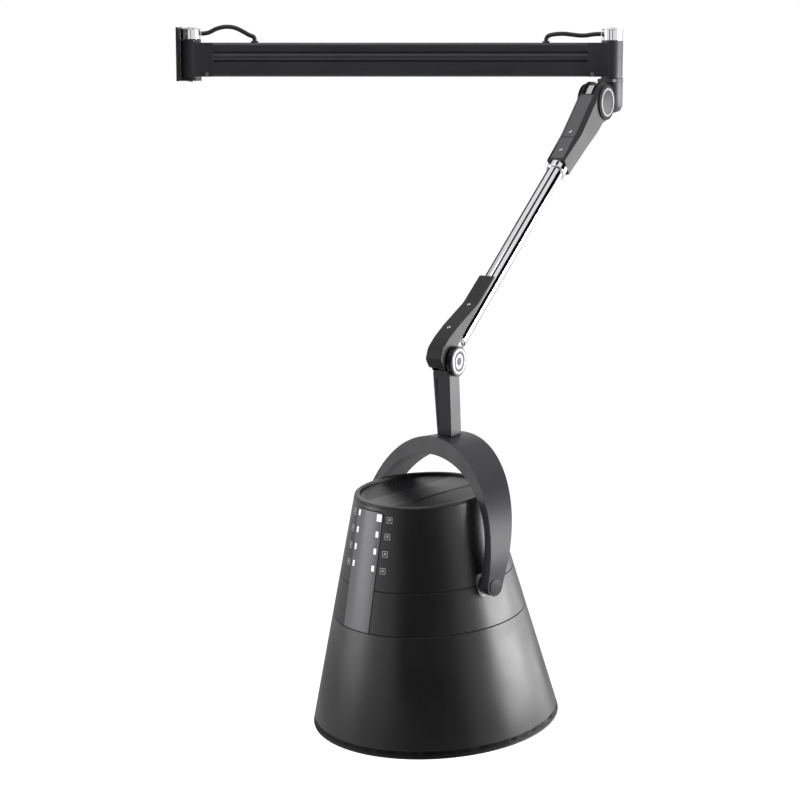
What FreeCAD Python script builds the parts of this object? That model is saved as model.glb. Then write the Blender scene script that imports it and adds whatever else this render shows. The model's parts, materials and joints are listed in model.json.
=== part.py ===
"""Wall-hung hair color processor: wall plate, swinging beam, balanced arm, yoke and heated hood.

Millimetres, +Z up. The origin is the wall plate's back face at the height of the beam's centre,
X runs along the beam away from the wall, and the arm reaches towards -Y.
"""
import FreeCAD, Part
import math
import os
import re
import Sketcher

Vector = FreeCAD.Vector
Rotation = FreeCAD.Rotation
Placement = FreeCAD.Placement
doc = FreeCAD.newDocument("HairColorProcessor")

# ---------------------------------------------------------------- driving dimensions
SIZES = {
    # clearances and common walls
    "running_fit": 0.05,          # radial clearance of a shaft that turns in its bore
    "seat_gap": 0.1,              # clearance of a part that is fixed in its seat
    "side_gap": 0.3,              # clearance between faces that move past each other
    "casing_wall": 2.5,
    "edge_chamfer": 1.0,
    # wall plate and its lugs
    "plate_thickness": 3.5,
    "plate_half_width": 40.0,
    "plate_top": 57.0,
    "lug_thickness": 2.0,
    "column_offset": 22.0,        # wall to the axis of the first column
    "wall_hole_radius": 3.0,
    "wall_hole_side": 30.0,
    "wall_hole_low": -20.0,
    "wall_hole_high": 46.0,
    # columns
    "hub_radius": 18.0,
    "hub_low": -31.0,
    "hub_high": 34.0,
    "right_hub_radius": 18.8,
    "column_pin_radius": 7.0,
    "bush_radius": 11.0,
    "washer_radius": 17.0,
    "washer_thickness": 1.0,
    "wall_pin_tip": 2.0,          # what the wall pin stands out below its lug
    "cap_low": 36.3,
    "right_cap_low": 34.5,
    "cap_top": 57.0,
    "cap_radius": 18.2,
    "right_cap_radius": 19.5,
    "cap_wall": 2.5,
    "cap_rounding": 1.2,
    "cap_boss_start": 8.0,        # cap's foot to the foot of its inner boss
    "nut_room": 1.0,              # radial room of the nut in the second cap's boss
    # beam
    "beam_span": 732.3,           # first column axis to second column axis
    "beam_low": -27.8,
    "beam_high": 30.4,
    "beam_half_depth": 17.0,
    "beam_wall": 3.0,
    "beam_corner": 6.0,
    "groove_low": -1.7,
    "groove_high": 13.7,
    "groove_depth": 2.0,
    "groove_slope": 1.0,
    "casting_length": 39.7,
    "right_casting_length": 44.1,
    "spigot_length": 18.0,
    "casting_screw_radius": 3.2,
    "casting_screw_height": -23.5,
    "casting_screw_side": 29.0,
    "casting_screw_inset": 8.0,   # second casting's edge to its screw
    "casting_screw_proud": 1.6,
    # leads over the beam
    "cable_diameter": 7.5,
    "left_lead_reach": 111.0,     # first column axis to its grommet
    "left_lead_rise": 27.8,       # beam's top to the highest point of the lead's route
    "left_lead_exit": 15.6,
    "right_lead_reach": 115.0,    # second column axis to its grommet
    "right_lead_rise": 15.6,
    "lead_end_gap": 0.3,
    "grommet_radius": 6.5,
    "grommet_height": 3.0,
    "grommet_taper": 1.5,
    # swivel bracket under the second column
    "collar_radius": 20.0,
    "collar_bottom": -37.0,
    "collar_reach": 26.0,
    "collar_nose_half_width": 15.0,
    "post_radius": 19.5,
    "post_bottom": -90.0,
    "post_rounding": 12.0,
    "post_rounding_share": 0.3,   # share of the rounding where its two slopes meet
    "stem_radius": 8.0,
    "stem_depth": 20.0,           # length of the stem inside the post
    "stem_nut_lift": 1.0,         # hub's top to the nut
    "stem_nut_height": 8.0,
    "stem_nut_radius": 12.0,
    "shoulder_reach": 60.6,       # column axis to shoulder pivot
    "shoulder_drop": 69.7,        # beam centre to shoulder pivot
    "tongue_half_width": 6.0,
    "tongue_radius": 16.0,
    "tongue_play": 0.6,
    "tongue_slot_top": 20.7,
    "pin_radius": 5.0,
    "link_offset": 8.5,           # distance of the levelling rod's pins from the arm's pivots
    "link_pin_radius": 1.4,
    "rod_radius": 1.75,
    "rod_eye_radius": 3.1,
    "rod_half_width": 1.8,
    "clevis_half_gap": 2.4,
    "clevis_floor": 2.0,          # pin's bore to the bottom of the slot for the rod's eye
    "rod_room": 1.0,
    "rod_low_share": 0.85,        # lowest place of the rod over the arm, as a share of link_offset
    "arm_heading": 58.9,          # degrees from the beam towards the front, in plan
    "arm_droop": 36.4,            # degrees of the arm below level, at rest
    "arm_droop_middle": 28.4,     # degrees, middle of the arm's travel
    # arm
    "arm_length": 641.5,          # shoulder pivot to elbow pivot
    "shoulder_half_width": 19.0,
    "shoulder_head_radius": 34.5,
    "casing_bend": 105.0,
    "casing_bend_top": 19.5,
    "casing_bend_low": 23.0,
    "casing_belly": 57.0,
    "casing_belly_low": 28.0,
    "casing_end": 176.0,
    "casing_end_half_height": 15.5,
    "casing_end_half_width": 16.5,
    "casing_end_wall": 6.0,
    "cover_half_width": 12.0,
    "cover_start": 30.0,
    "cover_seam": 118.0,
    "cover_seam_gap": 1.0,
    "shoulder_screw_first": 105.0,
    "shoulder_screw_second": 150.0,
    "screw_head_radius": 3.4,
    "screw_head_height": 1.2,
    "screw_seat_height": 0.6,
    "screw_shank_radius": 1.5,
    "screw_length": 4.0,
    "boss_radius": 10.0,
    "boss_bite": 0.5,             # what the boss reaches into the casing's wall
    "pivot_cover_radius": 30.5,
    "pivot_cover_height": 3.0,
    "pivot_ring_radius": 25.0,
    "pivot_ring_inner": 20.0,
    "pivot_ring_height": 1.2,
    "ferrule_radius": 17.0,
    "ferrule_length": 14.0,
    "ferrule_chamfer": 1.5,
    "tube_radius": 14.3,
    "tube_wall": 1.8,
    "elbow_setback": 43.5,        # end of the tube before the elbow pivot
    "sleeve_inside": 26.0,        # length of the sleeve before and after the casing's end
    "sleeve_outside": 39.0,
    "sleeve_wall": 1.5,
    "spring_radius": 6.6,
    "spring_wall": 1.2,
    "spring_drop": 3.2,
    "spring_seat_gap": 2.0,
    "spring_fork_gap": 7.0,
    "spring_seat_length": 5.0,
    # elbow
    "fork_plug_length": 26.0,
    "fork_plug_bite": 4.0,        # what the plug reaches into the cheeks
    "fork_cheek_half_height": 10.0,
    "fork_gap_start": 8.0,        # tube's end to the bottom of the fork's gap
    "fork_gap": 6.4,              # half the gap between the fork's cheeks
    "fork_half_width": 10.6,
    "fork_head_radius": 14.0,
    "elbow_half_width": 13.7,
    "elbow_cover_reach": 176.5,   # elbow pivot back to the start of its cover
    "elbow_start_top": 18.0,
    "elbow_rise_reach": 111.5,
    "elbow_rise_top": 19.0,
    "elbow_mid_reach": 44.5,
    "elbow_mid_top": 33.5,
    "elbow_head_height": 37.92,
    "elbow_head_half_length": 11.85,
    "elbow_far_height": 28.44,
    "elbow_far_slant": 1.25,
    "elbow_side_start": 15.0,
    "elbow_side_middle": 11.0,
    "elbow_side_end": 8.0,
    "elbow_tube_cover": 4.0,      # what the cover's side keeps over the end of the tube
    "elbow_flange_length": 9.0,
    "elbow_room_gap": 2.0,        # tube's end to the room inside the cover
    "elbow_screw_seat": 1.4,
    "elbow_screw_hold": 2.4,      # depth of the elbow's screws under the cover's face
    "elbow_screw_second_lift": 0.7,
    "elbow_back_reach": 28.0,     # elbow pivot to the far edge of the elbow cover
    "elbow_screw_far": 105.5,
    "elbow_screw_near": 40.5,
    "elbow_cap_radius": 20.0,
    "elbow_cap_height": 2.6,
    "knob_radius": 23.5,
    "knob_groove_radius": 21.3,
    "knob_face_radius": 20.0,
    "knob_width": 8.9,
    "pin_collar_radius": 9.0,
    "knob_face_height": 1.0,
    "knob_face_chamfer": 0.5,
    "knob_groove_half_width": 1.0,
    # neck
    "neck_length": 119.0,         # elbow pivot to the top of the yoke
    "neck_shoulder": 18.0,
    "neck_top_back": -16.3,
    "neck_top_front": 13.7,
    "neck_top_half_width": 14.9,
    "neck_bottom_back": -28.0,
    "neck_bottom_front": 3.0,
    "neck_bottom_half_width": 12.5,
    "neck_head_radius": 14.5,
    "neck_stalk_half_length": 11.6,
    "neck_stalk_bite": 4.0,       # what the stalk reaches into the neck
    "neck_head_play": 0.8,
    "neck_shift": -11.2,          # yoke swivel axis behind the elbow pivot
    "yoke_stem_radius": 7.5,
    "yoke_stem_up": 30.0,
    "yoke_stem_down": 22.0,
    # yoke
    "hood_azimuth": 40.2,         # degrees, direction that the control panel faces
    "pivot_lean": 45.5,           # hood pivots in front of the yoke's swivel axis
    "crown_gap": 51.5,            # hood's top to the inner side of the arch
    "yoke_crown": 27.5,
    "yoke_leg_thickness": 17.9,
    "yoke_leg_straight": 21.1,
    "yoke_inner_straight": 45.6,
    "hood_side_gap": 0.64,
    "yoke_front_low": 14.6,
    "yoke_front_high": -15.6,
    "yoke_back_low": -15.4,
    "yoke_back_high": -82.3,
    "yoke_cap_radius": 11.5,
    "yoke_cap_height": 1.5,
    "yoke_cap_chamfer": 0.5,
    "pivot_pin_radius": 6.0,
    "pivot_boss_radius": 19.0,
    "pivot_depth": 8.0,           # pins and bosses reach this far inside the hood's wall
    # hood, heights from the bottom rim
    "hood_bottom_radius": 195.0,
    "hood_top_radius": 105.0,
    "hood_height": 369.0,
    "hood_wall": 2.6,
    "hood_tip": 4.7,              # degrees, the top leans towards the panel
    "pivot_height": 242.3,
    "rim_height": 5.5,
    "rim_width": 9.0,
    "seam_lower": 178.6,
    "seam_upper": 243.0,
    "seam_gap": 0.4,
    "top_rim_height": 3.0,
    "top_rim_chamfer": 1.5,
    "top_opening_radius": 97.0,
    "lid_depth": 3.5,
    "lid_thickness": 3.0,
    "ledge_width": 7.0,
    "band_half_width": 30.0,
    "vent_sink": 0.5,             # the vents lie this much lower than the band
    "vent_pitch": 8.0,
    "vent_slot_half_width": 1.5,
    "vent_reach": 40.0,           # half length of the slot next to the band
    "vent_reach_step": 4.0,
    "panel_half_width": 30.0,
    "panel_seam_gap": 0.8,
    "panel_top_gap": 9.0,
    "panel_thickness": 7.0,
    "panel_proud": 0.5,
    "window_side": 23.0,
    "window_drop": 16.6,          # hood's top to the first row of windows
    "window_pitch": 25.5,
    "window_width": 5.0,
    "window_height": 9.0,
    "window_depth": 1.5,
    "board_thickness": 1.6,
    "board_half_width": 24.0,
    "board_length": 120.0,
    "board_gap": 0.6,
    # inside the hood
    "liner_gap": 12.0,
    "liner_wall": 2.0,
    "lid_room": 107.0,            # hood's top to the liner's top, where the fan sits
    "liner_flange": 2.5,
    "liner_foot_gap": 1.0,
    "heater_radius": 5.0,
    "heater_length": 110.0,
    "heater_low": 50.0,
    "heater_stand_off": 16.0,
    "heater_count": 6.0,
    "holder_width": 16.0,
    "holder_length": 10.0,
    "holder_bite": 2.0,           # the holder reaches this far past its tube
    "holder_gap": 0.5,
    "duct_radius": 65.0,
    "duct_wall": 3.0,
    "duct_height": 38.0,
    "guard_ring_width": 3.0,
    "guard_thickness": 3.0,
    "guard_ring_count": 4.0,
    "rotor_radius": 57.0,
    "rotor_hub_radius": 17.0,
    "rotor_height": 18.0,
    "rotor_lift": 8.0,
    "blade_count": 7.0,
    "blade_thickness": 1.6,
    "blade_pitch": 38.0,
    "blade_root": 3.0,            # what a blade reaches into the hub
    "blade_overhang": 0.9,
    "motor_radius": 22.0,
    "motor_height": 28.0,
    "motor_rounding": 3.0,
    "motor_shaft_radius": 3.0,
    "motor_bore_end": 6.0,        # motor's top to the end of its bore
    "motor_shaft_end": 7.0,
    "bridge_hole_room": 1.0,
    "bridge_thickness": 3.0,
    "bridge_half_width": 12.0,
}
# places that follow from the driving dimensions
DERIVED = {
    "plate_low": "hub_low - 2 * lug_thickness",
    "pin_foot": "plate_low - wall_pin_tip",
    "pin_head": "cap_top - cap_wall - edge_chamfer",
    "tube_end": "arm_length - elbow_setback",
    "sleeve_start": "casing_end - sleeve_inside",
    "sleeve_end": "casing_end + sleeve_outside",
    "spring_start": "sleeve_end + spring_seat_gap + spring_seat_length",
    "spring_end": "tube_end - fork_plug_length - spring_fork_gap - spring_seat_length",
    "elbow_start": "arm_length - elbow_cover_reach",
    "elbow_rise_start": "arm_length - elbow_rise_reach",
    "elbow_mid": "arm_length - elbow_mid_reach",
    "elbow_screw_first": "arm_length - elbow_screw_far",
    "elbow_screw_second": "arm_length - elbow_screw_near",
    "knob_start": "neck_top_half_width + side_gap",
    "knob_end": "knob_start + knob_width",
    "collar_height": "hood_height - top_rim_height",
    "panel_low": "seam_lower + panel_seam_gap",
    "panel_high": "hood_height - panel_top_gap",
    "window_first": "hood_height - window_drop",
    "lid_high": "hood_height - lid_depth",
    "lid_low": "lid_high - lid_thickness",
    "liner_top": "hood_height - lid_room",
    "liner_roof": "liner_top - liner_wall",
    "bridge_low": "liner_top + duct_height",
    "motor_low": "bridge_low + bridge_thickness",
    "motor_high": "motor_low + motor_height",
    "rotor_low": "liner_top + rotor_lift",
    "rod_trough": "link_offset * rod_low_share - rod_radius - rod_room",
    "neck_head_half_width": "fork_gap - neck_head_play",
    "leg_end_radius": "(yoke_front_low - yoke_back_low) / 2",
    "hood_slope": "(hood_bottom_radius - hood_top_radius) / hood_height",
    "yoke_inner_half_width": "hood_bottom_radius - hood_slope * (pivot_height - leg_end_radius)"
                             " + hood_side_gap",
    "yoke_half_width": "yoke_inner_half_width + yoke_leg_thickness",
    "yoke_height": "hood_height - pivot_height + crown_gap + yoke_crown",
    "yoke_outer_rise": "yoke_height - yoke_leg_straight",
    "yoke_inner_rise": "yoke_height - yoke_crown - yoke_inner_straight",
}
# how far a cutting tool passes the face that it opens: a short way, and clear of the whole piece
FREE = {"past": "1", "far_past": "20", "clear": "60", "outside": "300"}
sheet = doc.addObject("Spreadsheet::Sheet", "Sizes")
for row, (alias, number) in enumerate(SIZES.items(), start=1):
    sheet.set("A%d" % row, alias)
    sheet.set("B%d" % row, str(number))
    sheet.setAlias("B%d" % row, alias)
doc.recompute()


def written_out(word):
    """A tool's overrun as its number, a derived place as its expression, a size as its cell."""
    if word in FREE:
        return FREE[word]
    if word in DERIVED:
        return "(%s)" % bound(DERIVED[word])
    return "Sizes." + word


def bound(text):
    """Expression of the sheet's cells for a text that names sizes and derived places."""
    return re.sub(r"[a-z][a-z_]+", lambda found: written_out(found.group()), str(text))


def mm(text):
    """Present value of an expression of the sheet's sizes."""
    return float(sheet.evalExpression(bound(text)))


# ---------------------------------------------------------------- frames of the moving groups
def frame(origin, x_axis, z_axis):
    """Placement at origin with the given directions for its X and Z axes."""
    return Placement(origin, Rotation(x_axis, z_axis.cross(x_axis), z_axis, "XZY"))


heading = math.radians(mm("arm_heading"))
droop = math.radians(mm("arm_droop"))
azimuth = math.radians(mm("hood_azimuth"))
tip = math.radians(mm("hood_tip"))
link_angle = math.radians(mm("arm_droop_middle"))
up = Vector(0, 0, 1)
outward = Vector(-math.cos(heading), -math.sin(heading), 0)
along = outward * math.cos(droop) - up * math.sin(droop)
above = outward * math.sin(droop) + up * math.cos(droop)
toward_panel = Vector(-math.cos(azimuth), -math.sin(azimuth), 0)
hood_axis = up * math.cos(tip) + toward_panel * math.sin(tip)
hood_front = toward_panel * math.cos(tip) - up * math.sin(tip)
link_way = outward * math.sin(link_angle) + up * math.cos(link_angle)

first_column = Vector(mm("column_offset"), 0, 0)
second_column = first_column + Vector(mm("beam_span"), 0, 0)
shoulder = second_column + outward * mm("shoulder_reach") - up * mm("shoulder_drop")
elbow = shoulder + along * mm("arm_length")
neck_foot = elbow - up * mm("neck_length") + outward * mm("neck_shift")
tilt_centre = neck_foot + toward_panel * mm("pivot_lean") - up * mm("yoke_height")
hood_base = tilt_centre - hood_axis * mm("pivot_height")

WALL = Placement()
BEAM = Placement(first_column, Rotation())
SWIVEL = frame(second_column, outward, up)
ARM = frame(shoulder, along, above)
ROD = frame(shoulder + link_way * mm("link_offset"), along, above)
SHOULDER_LINK = frame(shoulder, link_way.cross(up.cross(outward)) * -1, link_way)
NECK = frame(elbow, outward, up)
ELBOW_LINK = frame(elbow, link_way.cross(up.cross(outward)) * -1, link_way)
ELBOW_ARM = frame(elbow, along, above)
STEM = frame(neck_foot, toward_panel, up)
YOKE = frame(tilt_centre, toward_panel, up)
HOOD = frame(hood_base, hood_front, hood_axis)

# ---------------------------------------------------------------- modelling helpers
nodes = {}
AXIS_TURN = {
    "x": Rotation(Vector(0, 1, 0), 90),
    "y": Rotation(Vector(1, 0, 0), -90),
    "z": Rotation(),
}


def keep(label, piece, place):
    """Name a finished sub-part, put it in its frame and list it for the export."""
    piece.Label = label
    piece.Placement = place
    nodes[label] = piece
    return piece


def cylinder(name, radius, low, high, axis="z", centre=("0", "0")):
    """Cylinder along an axis from low to high; centre gives its two other coordinates."""
    solid = doc.addObject("Part::Cylinder", name)
    solid.setExpression("Radius", bound(radius))
    solid.setExpression("Height", bound("(%s) - (%s)" % (high, low)))
    solid.Placement.Rotation = AXIS_TURN[axis]
    others = [letter for letter in "xyz" if letter != axis]
    solid.setExpression("Placement.Base." + axis, bound(low))
    for letter, coordinate in zip(others, centre):
        solid.setExpression("Placement.Base." + letter, bound(coordinate))
    return solid


def box(name, *spans):
    """Box from three (low, high) pairs, for X, Y and Z."""
    solid = doc.addObject("Part::Box", name)
    for letter, side, (low, high) in zip("xyz", ("Length", "Width", "Height"), spans):
        solid.setExpression("Placement.Base." + letter, bound(low))
        solid.setExpression(side, bound("(%s) - (%s)" % (high, low)))
    return solid


def centred_box(name, x_span, half_width, z_span):
    """Box that is symmetric about Y = 0."""
    return box(name, x_span, ("-(%s)" % half_width, half_width), z_span)


def fuse(name, *solids):
    joined = doc.addObject("Part::MultiFuse", name)
    joined.Shapes = list(solids)
    joined.Refine = True
    return joined


def common(name, *solids):
    shared = doc.addObject("Part::MultiCommon", name)
    shared.Shapes = list(solids)
    return shared


def group(name, solids):
    """Several separate solids in one node."""
    gathered = doc.addObject("Part::Compound", name)
    gathered.Links = list(solids)
    return gathered


def cut(name, base, *tools):
    """Base without its tools."""
    result = doc.addObject("Part::Cut", name)
    result.Base = base
    result.Tool = tools[0] if len(tools) == 1 else group(name + "_tools", tools)
    result.Refine = True
    return result


def origin_plane(body, role):
    return next(plane for plane in body.Origin.OriginFeatures if plane.Role == role)


def sketch(body, role, offset, points):
    """Closed outline through points, each a pair of expressions, on a plane of the body's own."""
    outline = body.newObject("Sketcher::SketchObject", "Outline")
    outline.AttachmentSupport = [(origin_plane(body, role), "")]
    outline.MapMode = "FlatFace"
    outline.setExpression("AttachmentOffset.Base.z", bound(offset))
    corners = [Vector(mm(x), mm(y), 0) for x, y in points]
    count = len(points)
    for index in range(count):
        outline.addGeometry(Part.LineSegment(corners[index], corners[(index + 1) % count]), False)
    for index in range(count):
        outline.addConstraint(Sketcher.Constraint("Coincident", index, 2, (index + 1) % count, 1))
    for index, (x, y) in enumerate(points):
        for kind, text in (("DistanceX", x), ("DistanceY", y)):
            number = outline.addConstraint(Sketcher.Constraint(kind, -1, 1, index, 1, mm(text)))
            outline.setExpression("Constraints[%d]" % number, bound(text))
    return outline


def turned(label, points, place):
    """Piece of revolution about its Z axis from (radius, height) points."""
    body = doc.addObject("PartDesign::Body", label)
    outline = sketch(body, "XZ_Plane", "0", points)
    turn = body.newObject("PartDesign::Revolution", "Turn")
    turn.Profile = outline
    turn.ReferenceAxis = (outline, ["V_Axis"])
    turn.Angle = 360
    return keep(label, body, place)


def placed(solid, place):
    """Copy-free holder that moves a solid before it joins a group or a boolean."""
    holder = group(solid.Name + "_placed", [solid])
    holder.Placement = place
    return holder


def padded(name, plane, low, high, points):
    """Body with one pad; its outline is extruded from low to high along the plane's normal."""
    body = doc.addObject("PartDesign::Body", name)
    start = low if plane != "XZ_Plane" else "-(%s)" % high
    pad = body.newObject("PartDesign::Pad", "Pad")
    pad.Profile = sketch(body, plane, start, points)
    pad.setExpression("Length", bound("(%s) - (%s)" % (high, low)))
    return body


def rectangle(x_low, x_high, y_low, y_high):
    return [(x_low, y_low), (x_high, y_low), (x_high, y_high), (x_low, y_high)]


def hood_radius(height, inset="0"):
    """Radius of the hood's outer face at a height, less an inset, as an expression."""
    return "(hood_bottom_radius - hood_slope * (%s) - (%s))" % (height, inset)


# ---------------------------------------------------------------- wall plate
def wall_parts():
    plate = box("plate", ("0", "plate_thickness"), ("-plate_half_width", "plate_half_width"),
                ("plate_low", "plate_top"))
    lugs = []
    for name, low, high in (("lug_low", "plate_low", "hub_low"),
                            ("lug_high", "hub_high", "hub_high + lug_thickness")):
        lugs.append(centred_box(name + "_arm", ("0", "column_offset"), "hub_radius", (low, high)))
        lugs.append(cylinder(name + "_end", "hub_radius", low, high, centre=("column_offset", "0")))
    bore = cylinder("lug_bore", "column_pin_radius + running_fit", "hub_low - far_past", "plate_top",
                    centre=("column_offset", "0"))
    holes = []
    for side in ("-wall_hole_side", "wall_hole_side"):
        for height in ("wall_hole_low", "wall_hole_high"):
            holes.append(cylinder("wall_hole", "wall_hole_radius", "-past", "plate_thickness + past", "x",
                                  (side, height)))
    keep("wall_plate", cut("wall_plate_cut", fuse("wall_plate_solid", plate, *lugs), bore, *holes), WALL)
    turned("wall_washer", rectangle("column_pin_radius + running_fit", "washer_radius",
                                    "hub_low", "hub_low + washer_thickness"), BEAM)


# ---------------------------------------------------------------- beam
def column_cap(name, radius, low, pin_radius, place):
    """Hollow cap with a rounded top edge and a boss round the column's pin."""
    inner = "%s - cap_wall" % radius
    roof = "cap_top - cap_wall"
    boss = "%s + seat_gap" % pin_radius
    boss_foot = "%s + cap_boss_start" % low
    cap = turned_solid(name, [("0", "cap_top"), ("0", roof), (boss, roof), (boss, boss_foot),
                              ("%s + cap_wall" % boss, boss_foot), ("%s + cap_wall" % boss, roof),
                              (inner, roof), (inner, low), (radius, low), (radius, "cap_top - cap_rounding"),
                              ("%s - cap_rounding" % radius, "cap_top")])
    cap.Placement = place
    return cap


def beam_parts():
    second = Placement(second_column, Rotation())
    low, high = "hub_low + washer_thickness + seat_gap", "hub_high - side_gap"
    turned("wall_pin", [("0", "pin_foot"), ("column_pin_radius - edge_chamfer", "pin_foot"),
                        ("column_pin_radius", "pin_foot + edge_chamfer"), ("column_pin_radius", "pin_head"),
                        ("0", "pin_head")], BEAM)
    hub = cylinder("hub", "hub_radius", low, high)
    arm = centred_box("casting_arm", ("0", "casting_length"), "beam_half_depth", ("beam_low", "beam_high"))
    inner = ("beam_low + beam_wall + seat_gap", "beam_high - beam_wall - seat_gap")
    spigot = centred_box("spigot", ("0", "casting_length + spigot_length"),
                         "beam_half_depth - groove_depth - beam_wall - seat_gap", inner)
    bore = cylinder("hub_bore", "column_pin_radius + seat_gap / 2", "hub_low - past", "hub_high + past")
    keep("casting_left", cut("casting_left_cut", fuse("casting_left_solid", hub, arm, spigot), bore), BEAM)

    hub = cylinder("right_hub", "right_hub_radius", "hub_low", "hub_high")
    arm = centred_box("right_casting_arm", ("-right_casting_length", "0"), "beam_half_depth",
                      ("beam_low", "beam_high"))
    spigot = centred_box("right_spigot", ("-right_casting_length - spigot_length", "0"),
                         "beam_half_depth - groove_depth - beam_wall - seat_gap", inner)
    bore = cylinder("right_hub_bore", "bush_radius + seat_gap / 2", "hub_low - past", "hub_high + past")
    keep("casting_right", cut("casting_right_cut", fuse("casting_right_solid", hub, arm, spigot), bore),
         second)
    turned("column_bush", rectangle("stem_radius + running_fit", "bush_radius", "hub_low", "hub_high"),
           second)

    depth = "beam_half_depth"
    groove = "-beam_half_depth + groove_depth"
    outline = [("-%s" % depth, "beam_low"), (depth, "beam_low"), (depth, "beam_high - beam_corner"),
               ("%s - beam_corner" % depth, "beam_high"), ("-%s + beam_corner" % depth, "beam_high"),
               ("-%s" % depth, "beam_high - beam_corner"), ("-%s" % depth, "groove_high"),
               (groove, "groove_high - groove_slope"), (groove, "groove_low + groove_slope"),
               ("-%s" % depth, "groove_low")]
    body = padded("beam_tube", "YZ_Plane", "casting_length", "beam_span - right_casting_length", outline)
    doc.recompute()
    hollow = body.newObject("PartDesign::Pocket", "Hollow")
    inset = "beam_half_depth - groove_depth - beam_wall"
    hollow.Profile = sketch(body, "YZ_Plane", "beam_span", rectangle(
        "-(%s)" % inset, inset, "beam_low + beam_wall", "beam_high - beam_wall"))
    hollow.setExpression("Length", bound("2 * beam_span"))
    keep("beam_tube", body, BEAM)

    caps = [column_cap("cap_left", "cap_radius", "cap_low", "column_pin_radius", Placement()),
            column_cap("cap_right", "right_cap_radius", "right_cap_low", "stem_nut_radius + nut_room",
                       Placement(Vector(mm("beam_span"), 0, 0), Rotation()))]
    keep("column_caps", group("column_cap_pair", caps), BEAM)

    screws = []
    for x in ("casting_screw_side", "beam_span - right_casting_length + casting_screw_inset"):
        screws.append(cylinder("casting_screw", "casting_screw_radius",
                               "-beam_half_depth - casting_screw_proud", "-beam_half_depth", "y",
                               (x, "casting_screw_height")))
    keep("casting_screws", group("casting_screw_pair", screws), BEAM)


ARC_SHARE = 0.45     # share of the shorter run at a corner that the lead's arc takes


def cable(label, route):
    """Lead of round section along straight runs joined by tangent arcs."""
    points = [Vector(x, 0, z) for x, z in route]
    edges = []
    start = points[0]
    for before, corner, after in zip(points, points[1:], points[2:]):
        back, ahead = before - corner, after - corner
        reach = ARC_SHARE * min(back.Length, ahead.Length)
        turn = math.pi - back.getAngle(ahead)
        radius = reach / math.tan(turn / 2)
        back.normalize()
        ahead.normalize()
        middle = (back + ahead).normalize()
        first, last = corner + back * reach, corner + ahead * reach
        centre_distance = math.hypot(radius, reach)
        crown = corner + middle * (centre_distance - radius)
        edges.append(Part.LineSegment(start, first).toShape())
        edges.append(Part.Arc(first, crown, last).toShape())
        start = last
    edges.append(Part.LineSegment(start, points[-1]).toShape())
    path = Part.Wire(edges)
    circle = Part.Circle(points[0], points[1] - points[0], mm("cable_diameter / 2"))
    section = Part.Wire([circle.toShape()])
    lead = doc.addObject("Part::Feature", label)
    lead.Shape = path.makePipeShell([section], True, False)
    return lead


# routes of the leads, as shares of their reach and of their rise over the beam
LEFT_LEAD = [(0.27, 0.561), (0.387, 0.849), (0.541, 1.0), (0.694, 0.939), (0.82, 0.687),
             (0.928, 0.435), (1.0, 0.363)]
RIGHT_LEAD = [(0.0, 0.615), (0.0945, 0.904), (0.315, 1.0), (0.4538, 0.891), (0.685, 0.731),
              (0.874, 0.949), (1.0, 0.949)]


def lead_parts():
    """The two leads leave the beam's top through grommets and end in the sides of the caps."""
    top = mm("beam_high")
    collar = top + mm("grommet_height")
    left_foot = mm("left_lead_reach")
    left_rise = mm("left_lead_rise")
    left_route = [(mm("cap_radius + lead_end_gap"), top + mm("left_lead_exit")),
                  (LEFT_LEAD[0][0] * left_foot, top + mm("left_lead_exit"))]
    left_route += [(across * left_foot, top + rise * left_rise) for across, rise in LEFT_LEAD[1:]]
    left = cable("cable_left", left_route + [(left_foot, collar)])
    right_foot = mm("beam_span - right_lead_reach")
    right_end = mm("beam_span - right_cap_radius - lead_end_gap")
    right_rise = mm("right_lead_rise")
    right_route = [(right_foot + across * (right_end - right_foot), top + rise * right_rise)
                   for across, rise in RIGHT_LEAD]
    right = cable("cable_right", [(right_foot, collar)] + right_route)
    keep("cables", group("cable_pair", [left, right]), BEAM)
    grommets = []
    for x in (left_foot, right_foot):
        grommets.append(placed(turned_solid("grommet", [
            ("0", "beam_high"), ("grommet_radius", "beam_high"),
            ("grommet_radius - grommet_taper", "beam_high + grommet_height - seat_gap"),
            ("0", "beam_high + grommet_height - seat_gap")]), Placement(Vector(x, 0, 0), Rotation())))
    keep("grommets", group("grommet_pair", grommets), BEAM)


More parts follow.
